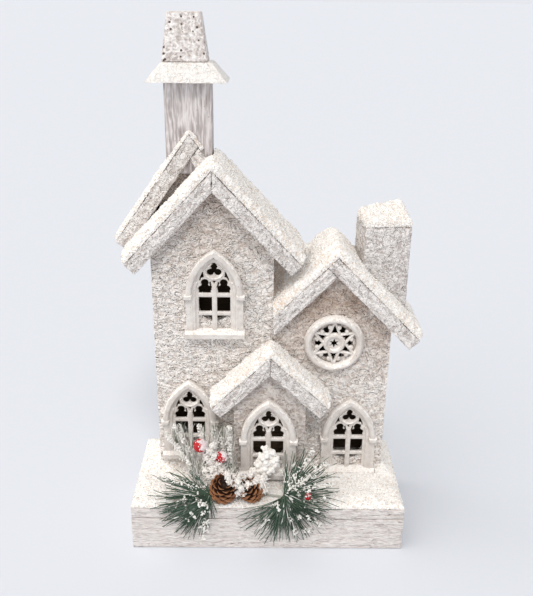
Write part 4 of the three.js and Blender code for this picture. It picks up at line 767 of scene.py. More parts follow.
def window_holes():
    """Outlines of the tracery's openings: four panes, two cusped heads, a trefoil with
    three round lobes, and the slips between ring, branches and arch."""
    pane_low, pane_high, transom, bar = 7.5, 36.7, 19.7, 3.6
    lobe_z = SPRING + 11.2
    half = [(5.2, 40.3)] + arc(2.6, lobe_z - 5.6, 3.0, -40, 62, 7) + arc(0, lobe_z, 3.3, -36, 90, 8)
    head = half + [(-x, z) for x, z in half[-2::-1]]
    outer_slip = ((12.7, 12.4), (12.0, 16.0), (10.8, 19.2), (9.4, 21.8), (9.1, 19.0), (8.5, 16.1),
                  (10.9, 15.0), (11.9, 13.2))
    inner_slip = ((1.9, 6.4), (3.1, 6.6), (4.3, 11.2), (3.3, 12.6))
    holes = []
    for side in (-1, 1):
        inner, outer = side * 2.1, side * 13.4
        for low, high in ((pane_low, transom), (transom + bar, pane_high)):
            holes.append([(inner, low), (outer, low), (outer, high), (inner, high)])
        holes.append([(side * 8 + x, z) for x, z in head])
        for slip in (outer_slip, inner_slip):
            holes.append([(side * x, SPRING + z) for x, z in slip])
    trefoil = []
    for out in (90, 210, 330):
        middle = (LOBE_OUT * np.cos(np.radians(out)), TREFOIL_Z + LOBE_OUT * np.sin(np.radians(out)))
        trefoil += arc(*middle, LOBE, out - 116, out + 116, 16)
        trefoil += arc(0, TREFOIL_Z, 2.1, out + 60, out + 60, 1)
    holes.append(trefoil)
    holes.append(arc(0, 72.4, 0.75, 0, 315, 8))
    holes.append([(-1.5, SPRING + 12.9), (0, SPRING + 10.4), (1.5, SPRING + 12.9)])
    return holes


def soft_step(value):
    """Rises from 0 to 1 with level ends: three times the square less twice the cube."""
    value = np.clip(value, 0, 1)
    return value * value * (3 - 2 * value)


def round_over(distance, radius):
    """Rises from 0 at an edge to 1 at `radius` from it, as a quarter circle."""
    return np.sqrt(1 - (1 - np.clip(distance / radius, 0, 1)) ** 2)


def gothic_relief(x, z):
    """How far the frame stands off the wall over (x, z), and the signed distance to
    its material: hood, stops, splayed orders, colonnettes, rounded tracery, sill."""
    holes = np.min([outline_distance(x, z, hole) for hole in window_holes()], axis=0)
    hood_edge = arch_distance(x, z, HOOD_HALF)
    stops = np.maximum.reduce([np.abs(x) - STOP_HALF, STOP_INNER - np.abs(x),
                                np.abs(z - SPRING + 0.6) - 2.2])
    sill = np.maximum(np.abs(x) - SILL_HALF, np.abs(z - 3.9) - 3.9)
    body = np.minimum(np.where(z < 0.1, 9, hood_edge), np.minimum(stops, sill))
    opening = arch_distance(x, z, OPENING_HALF)
    tracery = 1.3 + 1.3 * round_over(holes, 1.3)
    ring = outline_distance(x, z, [
        (9 * np.cos(a) * (1 - 0.2 * max(0, np.sin(a))), 60 + 7.4 * np.sin(a))
        for a in np.linspace(0, 2 * np.pi, 28, endpoint=False)])
    off_ring = np.abs(ring + 0.9)
    tracery = np.maximum(tracery, np.where(off_ring < 1.3, 3.9 - 2.2 * off_ring ** 2, -5.1))
    shaft = 2.1 + 1.3 * np.sqrt(np.clip(1 - (x / 2.4) ** 2, 0, 1)) - 9 * (z > SPRING + 9)
    shaft = np.where(np.abs(x) < 2.2, shaft, -1)
    splay = 2.4 + 2.2 * soft_step((opening - 0.1) / 3.4)
    colonnette = np.where(z < SPRING + 12, 2.6 + 1.8 * np.sqrt(
        np.clip(1 - ((opening - 1.6) / 1.5) ** 2, 0, 1)), 0)
    jamb = np.where(opening > 0, np.maximum(splay, np.where(np.abs(opening - 1.6) < 1.5, colonnette, 0)),
                    np.maximum(tracery, shaft))
    inward = -hood_edge
    hood = np.where((inward > -0.1) & (inward < 5.6) & (z > SPRING - 1),
                    5.0 + 2.5 * round_over(np.minimum(inward, 5.5 - inward), 1.8), 0)
    stop = np.where(stops < 0, 6.2 + 2.1 * round_over(-stops, 1.2), 0)
    ledge = np.where(sill < 0, 9 * np.clip((7.9 - z) / 3.2, 0.1, 1) - 0.8 + 0.8 * round_over(-sill, 1.0), 0)
    return np.maximum.reduce([jamb, hood, stop, ledge]), np.maximum(body, -holes)


def resin_finish(name, dark, light):
    """Cast resin: almost smooth, cloudy, with pinholes and a little dust."""
    material, tree, place = new_finish(name, 0.5)
    cloudy = speckle(tree, place, 6.0, dark, light, 0.32, 0.62)
    dusted = crest_tone(tree, BLACK, WHITE, 0.46, 0.62)
    grit = speckle(tree, place, 1.6, (0.86, 0.78, 0.71), (0.99, 0.965, 0.94), 0.36, 0.52)
    pinholed = pits(tree, place, blend(tree, "MIX", dusted, cloudy, grit), 3.4, 0.10, 0.30,
                    (0.20, 0.15, 0.11))
    return finished(material, pinholed, place, [("Noise", 1.8, 0.34), ("Noise", 0.8, 0.08)])


frame_resin = resin_finish("frame_resin", (0.64, 0.585, 0.545), (0.765, 0.725, 0.69))


def grains(where, radius, seed):
    """Small grit: each grain is a bead with six corners and eight faces, of its own
    size, squeezed and turned at random."""
    rng = np.random.default_rng(seed)
    count = len(where)
    corners = np.array([(1, 0, 0), (0, 1, 0), (0, 0, 1), (-1, 0, 0), (0, -1, 0), (0, 0, -1)], float)
    sides = np.array([(0, 1, 2), (1, 3, 2), (3, 4, 2), (4, 0, 2),
                      (1, 0, 5), (3, 1, 5), (4, 3, 5), (0, 4, 5)])
    sizes = radius * rng.uniform(0.45, 1.25, (count, 1, 1)) * rng.uniform(0.6, 1.25, (count, 6, 1))
    axis = unit(rng.normal(size=(count, 3)))
    helper = unit(np.cross(axis, rng.normal(size=(count, 3))))
    third = np.cross(axis, helper)
    turned = (corners[None, :, 0:1] * axis[:, None] + corners[None, :, 1:2] * helper[:, None]
              + corners[None, :, 2:3] * third[:, None])
    points = where[:, None] + turned * sizes
    faces = sides[None] + 6 * np.arange(count)[:, None, None]
    return points.reshape(-1, 3), faces.reshape(-1, 3)


def joined(parts):
    """Points, faces and crests of several pieces as those of one."""
    points, faces, crests, total = [], [], [], 0
    for part_points, part_faces, crest in parts:
        points.append(part_points)
        faces += [np.asarray(face) + total for face in part_faces]
        crests.append(np.broadcast_to(crest, len(part_points)))
        total += len(part_points)
    return np.concatenate(points), faces, np.concatenate(crests)


BEADS = 420


def relief_piece(name, node, across, level, height, field, place, grain):
    """A relief from its height and signed distance on a square grid. Corners within
    reach of the contour are moved on to it, down the distance's slope. Snow lies where
    the relief faces up, which is where its height falls off as the level rises."""
    x0, wall_y, z0 = place
    step = across[1, 0] - across[0, 0]
    slope_x, slope_z = np.gradient(field, step)
    size = np.maximum(slope_x ** 2 + slope_z ** 2, 0.3)
    shift = np.where(np.abs(field) < 0.7 * step, field, 0) / size
    x, z = across - shift * slope_x, level - shift * slope_z
    back = np.stack([x0 + x, np.full_like(x, wall_y - CAD_GAP), z0 + z], -1)
    front = back.copy()
    front[..., 1] -= height + grain
    points, faces, _, used = cut_plate(front, back, centres(field) < 0, True)
    faces_up = -np.gradient(height, step)[1]
    dust = np.clip(0.45 * faces_up + 0.30 * ripple(front, 2.0, 79) + 0.2 * (height > 6), 0, 1)
    dust = np.concatenate([dust.ravel(), np.zeros(dust.size)])[used]
    rng = np.random.default_rng(83)
    beds = np.nonzero(dust > 0.55)[0]
    spots = points[rng.choice(beds, BEADS)] + rng.normal(0, 0.35, (BEADS, 3))
    house_piece(name, node, "frame_resin", frame_resin, 40,
                *joined([(points, faces, dust), (*grains(spots, 0.55, 85), 1.0)]))


grid_x, grid_z = grid_of(np.arange(-27, 27.01, 0.45), np.arange(-0.9, 80.6, 0.45))
gothic_height, gothic_field = gothic_relief(grid_x, grid_z)
for window, place in WINDOWS.items():
    spot = np.stack([grid_x + place[0], 0 * grid_x, grid_z + place[2]], -1)
    relief_piece(window + "_cast_frame", window + "_window_frame", grid_x, grid_z, gothic_height,
                 gothic_field, place, 0.10 * ripple(spot, 1.6, 71) + 0.10 * ripple(spot, 3.4, 73))

# Round window: one casting too. A fat ring holds a six-pointed star of bars, and the
# bars meet a dished hub whose middle is pierced by a small star.
BAR_HALF, CUSP_RING = 1.08, 15.4
RING_OUTER, RING_INNER, HUB = 26.2, 19.3, 9.6


def rosette_relief(x, z):
    """Height and signed distance of the round window: ring as half a torus, each of
    the star's bars a rounded ridge about a line, with a cusp on it, hub a raised rim
    about a dish."""
    radius = np.hypot(x, z)
    ring = np.abs(radius - (RING_OUTER + RING_INNER) / 2) - (RING_OUTER - RING_INNER) / 2
    ring_height = 7 * np.sqrt(np.clip(1 - (1 + ring / 3.8) ** 2, 0, 1)) * (ring < 0)
    bars = np.full_like(x, 9.0)
    for k in range(6):
        angle = k * np.pi / 3
        tip = np.array([np.sin(angle), np.cos(angle)]) * (RING_INNER + 1.2)
        for side in (-1, 1):
            foot_angle = angle + side * 0.62
            foot = np.array([np.sin(foot_angle), np.cos(foot_angle)]) * (HUB - 1)
            run = tip - foot
            t = np.clip(((x - foot[0]) * run[0] + (z - foot[1]) * run[1]) / (run @ run), 0, 1)
            bars = np.minimum(bars, np.hypot(x - foot[0] - t * run[0], z - foot[1] - t * run[1]))
    for k in range(12):
        angle = (k // 2 + 0.5) * np.pi / 3 + (k % 2 - 0.5) * 0.52
        bars = np.minimum(bars, np.hypot(x - CUSP_RING * np.sin(angle),
                                         z - CUSP_RING * np.cos(angle)) - 0.75)
    bars = np.maximum(bars, 0)
    bar_height = 1.4 + 1.9 * np.sqrt(np.clip(1 - (bars / BAR_HALF) ** 2, 0, 1))
    rim = np.abs(radius - 7.6)
    dish = np.where(radius < HUB, 2.0 + 2.2 * np.sqrt(np.clip(1 - (rim / 1.8) ** 2, 0, 1)), 0)
    reach = np.where(np.arange(12) % 2, 2.0, 4.9)
    angles = np.pi / 2 + np.pi * np.arange(12) / 6
    middle = outline_distance(x, z, np.stack([reach * np.cos(angles), reach * np.sin(angles)], -1))
    height = np.maximum.reduce([ring_height, np.where(bars < BAR_HALF, bar_height, 0), dish])
    field = np.minimum.reduce([ring, bars - BAR_HALF, np.maximum(radius - HUB, -middle)])
    return np.maximum(height, 0.4), field


rows = np.arange(-26.6, 26.7, 0.42)
round_x, round_z = grid_of(rows, rows)
spot = np.stack([round_x + ROUND_AT[0], 0 * round_x, round_z + ROUND_AT[2]], -1)
relief_piece("round_cast_frame", "round_window_frame", round_x, round_z,
             *rosette_relief(round_x, round_z), ROUND_AT, 0.12 * ripple(spot, 1.8, 77))

# Snow: white flock and plaster grit glued on while wet, thick on the roofs and the
# yard, thin on the steep roof, with loose grains that stand out along its edges.
def snow_finish(name, hollow, speck, chance):
    """Grit snow: cream in its hollows, which is painted shade, white on its grains, with a few rusty specks.
    """
    material, tree, place = new_finish(name, 0.9)
    tone = crest_tone(tree, hollow, (1.0, 0.985, 0.965), 0.10, 0.52)
    sand = speckle(tree, place, 1.7, (0.84, 0.76, 0.68), WHITE, 0.34, 0.47, 2.0)
    tone = blend(tree, "MULTIPLY", 1.0, tone, sand)
    colour = pits(tree, place, tone, 2.8, 0.17, chance, speck)
    return finished(material, colour, place, [("Noise", 1.9, 1.0), ("Voronoi", 1.2, 0.30)])


# each snow's first colour is the painted shade in its hollows
roof_snow = snow_finish("roof_snow", (0.82, 0.715, 0.63), (0.66, 0.50, 0.37), 0.10)
yard_snow = snow_finish("yard_snow", (0.84, 0.75, 0.68), (0.46, 0.30, 0.19), 0.20)


def snow_piece(name, node, grids, keep, material, grit, seed):
    """A closed crust between its top and its bottom grid, with grit strewn on its top
    and its rim. Its crests are where the top stands high."""
    top, bottom, height = grids
    points, faces, _, used = cut_plate(top, bottom, keep, False)
    crest = np.concatenate([height.ravel(), np.full(height.size, 0.3)])[used]
    rng = np.random.default_rng(seed)
    padded = np.zeros((keep.shape[0] + 2, keep.shape[1] + 2), bool)
    padded[1:-1, 1:-1] = keep
    inland = padded[2:, 1:-1] & padded[:-2, 1:-1] & padded[1:-1, 2:] & padded[1:-1, :-2]
    spots = []
    for chosen, count in ((keep, grit[0]), (keep & ~inland, grit[1])):
        i, j = np.nonzero(chosen)
        pick = rng.integers(0, len(i), count)
        a, b = top[i[pick], j[pick]], top[i[pick] + 1, j[pick] + 1]
        upper = a + (b - a) * rng.uniform(0, 1, (count, 1))
        sunk = rng.uniform(0, 1, (count, 1)) if count == grit[1] else 0
        spots.append(upper + (bottom[i[pick], j[pick]] - upper) * sunk)
    bead_points, bead_faces = grains(np.concatenate(spots), 0.86, seed + 1)
    bead_crest = rng.uniform(0.45, 1, len(bead_points) // 6).repeat(6)
    house_piece(name, node, "snow", material, 80,
                *joined([(points, faces, crest), (bead_points, bead_faces, bead_crest)]))


def lumps(points, seed):
    """Clotted grit: ripples 5, 2.4 and 1.5 mm wide, added up, -1.3 to 1.3."""
    return (0.50 * ripple(points, 5.0, seed) + 0.55 * ripple(points, 2.4, seed + 1)
            + 0.50 * ripple(points, 1.5, seed + 2))


def roof_blanket(gable, left, right, front, back, thickness, waves=0.5, step=0.75, seed=81,
                 drift=None):
    """Snow over a gable: s runs from the left eave over the ridge to the right one, y
    from front to back. It stands off the boards along their normal, blended over the
    ridge, and rounds off at its edges. Returns top, bottom, and how high it stands."""
    ridge_x, ridge_z, slope = GABLES[gable]
    angle = np.radians(slope)
    lift = CAD_GAP / np.cos(angle)
    half = (left - 1) / np.cos(angle), (right - 1) / np.cos(angle)
    s = np.concatenate([np.linspace(-half[0], 0, int(half[0] / step))[:-1],
                        np.linspace(0, half[1], max(2, int(half[1] / step)))])
    y = np.linspace(front, back, int((back - front) / step))
    s, y = grid_of(s, y)
    side = np.sin(np.clip(s / (0.65 * thickness), -1, 1) * np.pi / 2)
    normal_x, normal_z = np.sin(angle) * side, np.sqrt(1 - (np.sin(angle) * side) ** 2)
    x = ridge_x + s * np.cos(angle)
    z = ridge_z + lift - np.abs(s) * np.sin(angle)
    bottom = np.stack([x, y, z], -1)
    ragged = 1.0 * ripple(bottom, 6.0, seed + 5) + 0.9 * ripple(bottom, 2.4, seed + 6)
    edge = np.minimum.reduce([s + half[0], half[1] - s, y - front, back - y]) + ragged - 0.5
    body = round_over(edge, 0.7 * thickness)
    clots = lumps(bottom, seed)
    height = (thickness * (0.30 + 0.66 * body)
              + waves * body * np.sin(s * 0.21 + 1) * np.cos(y * 0.17 + s * 0.05)
              + clots * (0.45 + 0.55 * body))
    top = bottom + np.stack([normal_x, 0 * x, normal_z], -1) * np.maximum(height, 0.3)[..., None]
    if drift:
        top[..., 2] += drift(x, y)
    return top, bottom, 0.45 + 0.4 * clots


TOP_SNOW, ROOM = 7.0, 0.4
top, bottom, crest = roof_blanket("tower", TOWER_REACH, TOWER_REACH, ROOF_FRONT + 1, ROOF_BACK - 1, TOP_SNOW)
x, y, _ = np.moveaxis(centres(bottom), -1, 0)
snow_piece("tower_snow_crust", "tower_roof_snow", (top, bottom, crest),
           ~((x < TOWER_RIDGE - 0.2) & (y > REAR_ROOF_FRONT - ROOM)), roof_snow, (5200, 3000), 91)

top, bottom, crest = roof_blanket("rear", REAR_REACH, 19.9, REAR_ROOF_FRONT + 1, ROOF_BACK - 1, 3.0, 0.2,
                                  0.8, 101)
x, y, z = np.moveaxis(centres(bottom), -1, 0)
in_shaft = ((x > SHAFT_X[0] - ROOM) & (x < SHAFT_X[1] + ROOM)
            & (y > SHAFT_Y[0] - ROOM) & (y < SHAFT_Y[1] + ROOM))
under_tower = (y < REAR_FRONT - ROOM) & (z < roof_top("tower", x) + 20.5)
snow_piece("rear_snow_crust", "rear_roof_snow", (top, bottom, crest),
           ~in_shaft & ~under_tower & (x < REAR_END - ROOM), roof_snow, (1400, 900), 111)


def valley_drift(x, y):
    """Snow piled up in the valley between the house roof and the tower wall, and a
    heap on the roof's left side below the ridge."""
    valley = 60 * np.exp(-(np.clip(x - 4, 0, None) / 13) ** 2) * soft_step((y - 15) / 26)
    heap = 6.5 * np.exp(-((x - 46) / 11) ** 2) * soft_step((y + 3) / 14)
    lump = 15 * np.exp(-((x - 31) / 6.5) ** 2 - ((y - 42) / 8) ** 2)
    return valley + heap + lump + 7 * np.exp(-((x - 22) / 5) ** 2 - ((y - 33) / 9) ** 2)


top, bottom, crest = roof_blanket("house", 60, HOUSE_REACH, ROOF_FRONT + 1, ROOF_BACK - 1, TOP_SNOW, 0.5,
                                  0.75, 121, valley_drift)
x, y, _ = np.moveaxis(centres(bottom), -1, 0)
# painted shade in the sheltered corner under the tower's eave: the crests are lowered, so the snow takes its
# darker hollow colour
crest = crest - 0.7 * np.exp(-((bottom[..., 0] - 3) / 13) ** 2) * (bottom[..., 1] < 40)
along = (x - STACK_X) * np.cos(STACK_TURN) + (y - STACK_Y) * np.sin(STACK_TURN)
across = (y - STACK_Y) * np.cos(STACK_TURN) - (x - STACK_X) * np.sin(STACK_TURN)
in_stack = (np.abs(along) < STACK_HALF_X + ROOM) & (np.abs(across) < STACK_HALF_Y + ROOM)
SNOW_LEFT = TOWER_RIGHT + 0.35
# the drift stays under the tower's eave: below its board, then below the board's end,
# which rises square to the slope
tower_slope = np.radians(GABLES["tower"][2])
eave_tip = TOWER_RIDGE + TOWER_REACH
eave_foot = eave_tip - BOARD * np.sin(tower_slope) - 0.8
for grid in (top, bottom):
    grid[..., 0] = np.maximum(grid[..., 0], SNOW_LEFT)
    x_here = grid[..., 0]
    under_eave = (roof_under("tower", np.minimum(x_here, eave_foot)) - 0.6
                  + np.clip(x_here - eave_foot, 0, None) / np.tan(tower_slope))
    grid[..., 2] = np.where(x_here < eave_tip + 0.5, np.minimum(grid[..., 2], under_eave), grid[..., 2])
snow_piece("house_snow_crust", "house_roof_snow", (top, bottom, crest), (x > SNOW_LEFT + 0.05) & ~in_stack,
           roof_snow, (5200, 2600), 131)

grids = roof_blanket("porch", PORCH_REACH, PORCH_REACH, PORCH_ROOF_FRONT + 1,
                     PORCH_ROOF_BACK - CAD_GAP, 6.0, 0.5, 0.7, 141)
snow_piece("porch_snow_crust", "porch_roof_snow", grids, np.ones(centres(grids[1]).shape[:2], bool),
           roof_snow, (2400, 2000), 151)


def flat_snow(bottom, height, least):
    """The top of snow that lies level: its bottom, raised by its height."""
    return bottom + np.array([0, 0, 1]) * np.maximum(height, least)[..., None]


half_x, half_y = STACK_HALF_X - 0.6, STACK_HALF_Y - 0.6
along, across = grid_of(np.linspace(-half_x, half_x, 56), np.linspace(-half_y, half_y, 50))
x, y, _ = on_stack(along, across, 0)
bottom = np.stack([x, y, np.full_like(x, STACK_TOP + CAD_GAP)], -1)
edge = np.minimum(half_x - np.abs(along), half_y - np.abs(across))
clots = lumps(bottom, 161)
heap = (2.5 + 3.8 * round_over(edge + 1.2 * ripple(bottom, 4.0, 163), 4.5) + 0.9 * clots
        + 0.07 * (across + 17) + 0.0055 * (along + half_x) * (across + half_y))
snow_piece("chimney_snow_crust", "house_chimney_snow",
           (flat_snow(bottom, np.minimum(heap, 15), 0.4), bottom, 0.45 + 0.4 * clots),
           np.ones(centres(bottom).shape[:2], bool), roof_snow, (1200, 900), 171)

# Yard snow: thinner, drifted against the walls and frayed along the base's edges. It
# is cut out where the walls and the lower right window stand.
YARD_HALF_X, YARD_HALF_Y = 119, 51
x, y = grid_of(np.linspace(-YARD_HALF_X, YARD_HALF_X, 262), np.linspace(-YARD_HALF_Y, YARD_HALF_Y, 112))
bottom = np.stack([x, y, np.full_like(x, BASE_TOP)], -1)
to_wall = np.maximum.reduce([TOWER_LEFT - x, x - HOUSE_RIGHT, TOWER_FRONT - y, 0 * x])
to_porch = np.maximum.reduce([np.abs(x - PORCH_MIDDLE) - PORCH_HALF, PORCH_FRONT - y, 0 * x])
edge = np.minimum(YARD_HALF_X - np.abs(x), YARD_HALF_Y - np.abs(y)) + 0.8 * ripple(bottom, 5.0, 181)
clots = lumps(bottom, 183)
height = (0.8 + 3.5 * (1 - np.exp(-np.clip(edge, 0, None) / 3))
          + 5 * np.exp(-np.minimum(to_wall, to_porch) / 7)
          + 0.6 * np.sin(x * 0.13) * np.cos(y * 0.2 + x * 0.05)
          + 0.45 * ripple(bottom, 9.0, 185) + 0.6 * clots)
x, y, _ = np.moveaxis(centres(bottom), -1, 0)


def within(x0, x1, y0, y1):
    """Which cells stand where a wall does: from x0 to x1 and y0 to y1, and a gap more."""
    return (x > x0 - CAD_GAP) & (x < x1 + CAD_GAP) & (y > y0 - CAD_GAP) & (y < y1 + CAD_GAP)


frame_x = WINDOWS["lower_right"][0]
built_over = (within(TOWER_LEFT, TOWER_RIGHT, TOWER_FRONT, WALL_BACK)
              | within(2.3, HOUSE_RIGHT, HOUSE_FRONT, WALL_BACK)
              | within(PORCH_LEFT, PORCH_RIGHT, PORCH_FRONT, 6.7)
              | within(frame_x - STOP_HALF, frame_x + STOP_HALF, -5.3, 4.7))
snow_piece("yard_snow_crust", "base_snow", (flat_snow(bottom, height, 0.3), bottom, 0.55 + 0.4 * clots),
           ~built_over, yard_snow, (5000, 2400), 191)

# Pine pick: sprays of flat green plastic needles twisted into wire, dipped in white
# flock. The two sprigs spread over the base's front edge and hang down before it.
NEEDLE_FRONT = -58.0


def strands(paths, radius, taper=0.35):
    """Thin three-sided strands: at each point of a path stands a small triangle square
    to the path's run, and the triangles shrink evenly towards the tip. `radius` is one
    number or one per path."""
    paths = np.asarray(paths, float)
    count, rings = paths.shape[:2]
    run = unit(np.gradient(paths, axis=1))
    side = unit(np.cross(run, (0.31, 0.27, 0.91)))
    other = np.cross(run, side)
    width = (radius * np.ones(count))[:, None] * np.linspace(1, taper, rings)[None]
    turn = np.array([0, 2, 4]) * np.pi / 3
    points = paths[:, :, None] + width[..., None, None] * (
        np.cos(turn)[:, None] * side[:, :, None] + np.sin(turn)[:, None] * other[:, :, None])
    first = (np.arange(count) * rings * 3)[:, None, None]
    ring = (np.arange(rings - 1) * 3)[None, :, None]
    corner = np.arange(3)[None, None]
    after = (corner + 1) % 3
    sides = np.stack([first + ring + corner, first + ring + after,
                      first + ring + 3 + after, first + ring + 3 + corner], -1).reshape(-1, 4)
    start = (np.arange(count) * rings * 3)[:, None]
    caps = np.concatenate([start + [2, 1, 0], start + (rings - 1) * 3 + [0, 1, 2]])
    return points.reshape(-1, 3), list(sides) + list(caps)


def flocked_finish(name, bare, flock, shade, roughness=0.7):
    """A bare colour that goes over to white flock where the crest value is high, with
    fine specks of flock and a soft change of shade."""
    material, tree, place = new_finish(name, roughness)
    tone = crest_tone(tree, bare, flock, 0.42, 0.62)
    shades = speckle(tree, place, 5.0, shade, WHITE, 0.35, 0.62)
    colour = blend(tree, "MULTIPLY", 1.0, tone, shades)
    return finished(material, colour, place, [("Noise", 0.7, 0.25)])


needle_finish = flocked_finish("flocked_needles", (0.060, 0.098, 0.068), (0.93, 0.91, 0.88),
                               (0.86, 0.88, 0.85))
frost_finish = flocked_finish("frosted_needles", (0.27, 0.29, 0.24), (0.92, 0.90, 0.87),
                              (0.80, 0.80, 0.78))
# white flock: its first colour is painted shade in the dents between clots and knobs
flock_finish = flocked_finish("white_flock", (0.68, 0.635, 0.60), (0.95, 0.925, 0.90),
                              (0.93, 0.92, 0.90), 0.95)
cone_finish = flocked_finish("cone_scales", (0.030, 0.011, 0.005), (0.42, 0.19, 0.085),
                             (0.50, 0.42, 0.38), 0.6)
berry_finish = flocked_finish("glossy_berry", (0.50, 0.010, 0.015), (0.95, 0.92, 0.92),
                              (0.85, 0.70, 0.72), 0.18)


def drape(across, up, layer):
    """Where the flat sheet of a sprig lies: above the hub it leans back, below it slopes
    to the base's front edge over 8 mm, then hangs down in front of it."""
    lean = np.clip(up, 0, None)
    slope = np.clip(-up / 8, 0, 1)
    hang = np.clip(-up - 8, 0, None)
    y = -46 + 0.42 * lean - (8.2 + 1.2 * layer) * slope
    z = 51.5 + 1.6 * layer + 0.88 * lean - (3.6 + 0.8 * layer) * slope - hang
    return np.stack([across, np.maximum(y, NEEDLE_FRONT + 0.5), z], -1)


def flakes(where, radius, seed):
    """Clots of flock: the grains of the snow, each with two smaller ones beside it."""
    rng = np.random.default_rng(seed)
    shift = rng.normal(0, 0.55 * radius, (3,) + where.shape)
    shift[0] = 0
    spots = (where[None] + shift).reshape(-1, 3)
    spots[:, 1] = np.maximum(spots[:, 1], NEEDLE_FRONT)
    points, faces = grains(spots, radius, seed + 1)
    return points, faces, rng.uniform(0.64, 1, len(points) // 6).repeat(6)


PER_STEM, LEAST_UP, MOST_UP = 8, 49.2, 108.5


def pine_sprig(name, node, hub_x, fans, flock_share, seed, frosted):
    """Each fan of a sprig is (angle in degrees, length in mm) of its stem. Needles leave
    the stem at up to 24 degrees to either side and bend a little; each is laid on the
    draped sheet by its distance across and up. Flock clots along them, and covers the
    stems at the angles `frosted`."""
    rng = np.random.default_rng(seed)
    angles, lengths = np.radians([fan[0] for fan in fans]), np.array([fan[1] for fan in fans], float)
    stem = np.repeat(np.arange(len(fans)), PER_STEM)
    count = len(stem)
    leave = rng.uniform(0.0, 0.34, count) * lengths[stem]
    length = np.minimum(rng.uniform(26, 46, count), rng.uniform(0.80, 1.08, count) * lengths[stem] - leave)
    angle = angles[stem] + rng.choice([-1, 1], count) * np.radians(rng.uniform(1, 24, count)) * (
        0.4 + 0.6 * rng.uniform(0, 1, count))
    bend = rng.normal(0, 0.09, count)
    layer = rng.uniform(0, 2.6, count)
    t = np.linspace(0, 1, 6)[None]
    heading = angle[:, None] + bend[:, None] * t
    across = (hub_x + leave[:, None] * np.cos(angles[stem])[:, None]
              + length[:, None] * t * np.cos(heading))
    up = leave[:, None] * np.sin(angles[stem])[:, None] + length[:, None] * t * np.sin(heading)
    paths = drape(across, up, layer[:, None])
    paths[..., 2] += 1.8 * np.sin(t * 3) * rng.normal(0, 1, (count, 1))
    paths[..., 2] = np.where(up > -8, np.maximum(paths[..., 2], LEAST_UP), paths[..., 2])
    needle_points, needle_faces = strands(paths, rng.uniform(0.42, 0.60, count), 0.55)
    dusted = (rng.uniform(0, 1, count) < flock_share)[:, None] * 0.20 + rng.uniform(0, 0.50, (count, 6))
    parts = [(needle_points, needle_faces, dusted.repeat(3))]
    run = np.linspace(0, 0.72, 7)[None]
    stems = drape(hub_x + run * (lengths * np.cos(angles))[:, None],
                  run * (lengths * np.sin(angles))[:, None], np.full((len(fans), 1), 1.0))
    parts.append((*strands(stems, 0.75, 0.6), 0.35))
    white_line = rng.integers(0, count, int(150 * flock_share))
    for chosen in white_line:
        spots = paths[chosen, rng.integers(1, 5)] + np.cumsum(rng.normal(0, 0.9, (9, 3)), axis=0)
        spots[:, 2] = np.maximum(spots[:, 2], paths[chosen, :, 2].min())
        parts.append(flakes(spots, 0.85, seed + chosen))
    for angle in np.radians(frosted):
        run = rng.uniform(10, 46, 44)
        spots = drape(hub_x + run * np.cos(angle) + rng.normal(0, 1.5, 44),
                      run * np.sin(angle) + rng.normal(0, 1.5, 44), np.full(44, 3.2))
        parts.append(flakes(spots, 0.8, seed + 7 + int(np.degrees(angle)) % 97))
    points, faces, crest = joined(parts)
    points[:, 1] = np.maximum(points[:, 1], NEEDLE_FRONT - 0.3)
    house_piece(name, node, "needles", needle_finish, None, points, faces, crest)


pine_sprig("left_sprig_needles", "pine_sprig_left", -50,
           [(150, 38), (163, 50), (171, 54), (178, 55), (185, 54), (192, 52), (199, 51), (205, 50),
            (211, 50), (217, 50), (223, 50), (229, 50), (235, 49), (241, 47), (247, 44), (254, 38),
            (206, 34), (222, 34), (238, 34), (124, 26), (276, 20)], 0.16, 301,
           (163, 262))
pine_sprig("right_sprig_needles", "pine_sprig_right", 14,
           [(-143, 49), (-128, 46), (-117, 50), (-110, 51), (-103, 52), (-95, 50), (-86, 48), (-76, 50),
            (-64, 50), (-52, 50), (-40, 50), (-26, 49), (-14, 48), (-2, 49), (10, 51), (22, 52),
            (34, 53), (46, 54), (58, 52), (70, 46), (84, 38), (-106, 32), (-92, 32), (-60, 28),
            (-20, 30), (15, 30), (40, 32), (60, 30)], 0.32, 331,
           (56, 34, 10))


def along_curve(corners, steps):
    """Points evenly spread over a broken line, rounded off: each corner is passed by the
    curve of a cubic through its neighbours."""
    corners = np.asarray(corners, float)
    padded = np.concatenate([[2 * corners[0] - corners[1]], corners, [2 * corners[-1] - corners[-2]]])
    t = np.linspace(0, len(corners) - 1 - 1e-6, steps)
    k = t.astype(int)
    u = (t - k)[:, None]
    a, b, c, d = padded[k], padded[k + 1], padded[k + 2], padded[k + 3]
    return 0.5 * (2 * b + (c - a) * u + (2 * a - 5 * b + 4 * c - d) * u ** 2
                  + (3 * b - a - 3 * c + d) * u ** 3)


# Frosted twigs: the pick's wire on the snow, and six upright twigs with grey-green
# needles and clots of flock, which stand before the tower's wall.
TWIGS = [
    [(-61, -42, 49.6), (-66, -29, 68), (-78, -24, 87), (-90, -20, 101)],
    [(-58, -43, 49.6), (-62, -26, 70), (-74, -21, 92), (-83, -18, 108)],
    [(-51, -42, 49.6), (-55, -29, 66), (-57, -24, 88), (-61, -18, 108)],
    [(-28, -37.6, 49.6), (-32, -30, 68), (-34, -25, 90), (-34, -21, 109)],
    [(-42, -40, 49.6), (-45, -27, 66), (-46, -22, 84), (-49, -18, 101)],
    [(-36, -39, 49.6), (-37, -28, 64), (-39, -23, 80), (-41, -19, 94)],
]
pick_wire = along_curve([(-63, -42, 49.6), (-55, -43.4, 49.6), (-38.5, -37, 49.6),
                         (-15.5, -37.6, 49.6), (14, -43.4, 49.6), (23, -42, 49.6)], 36)
BARBS, CLODS = 74, 110
rng = np.random.default_rng(361)
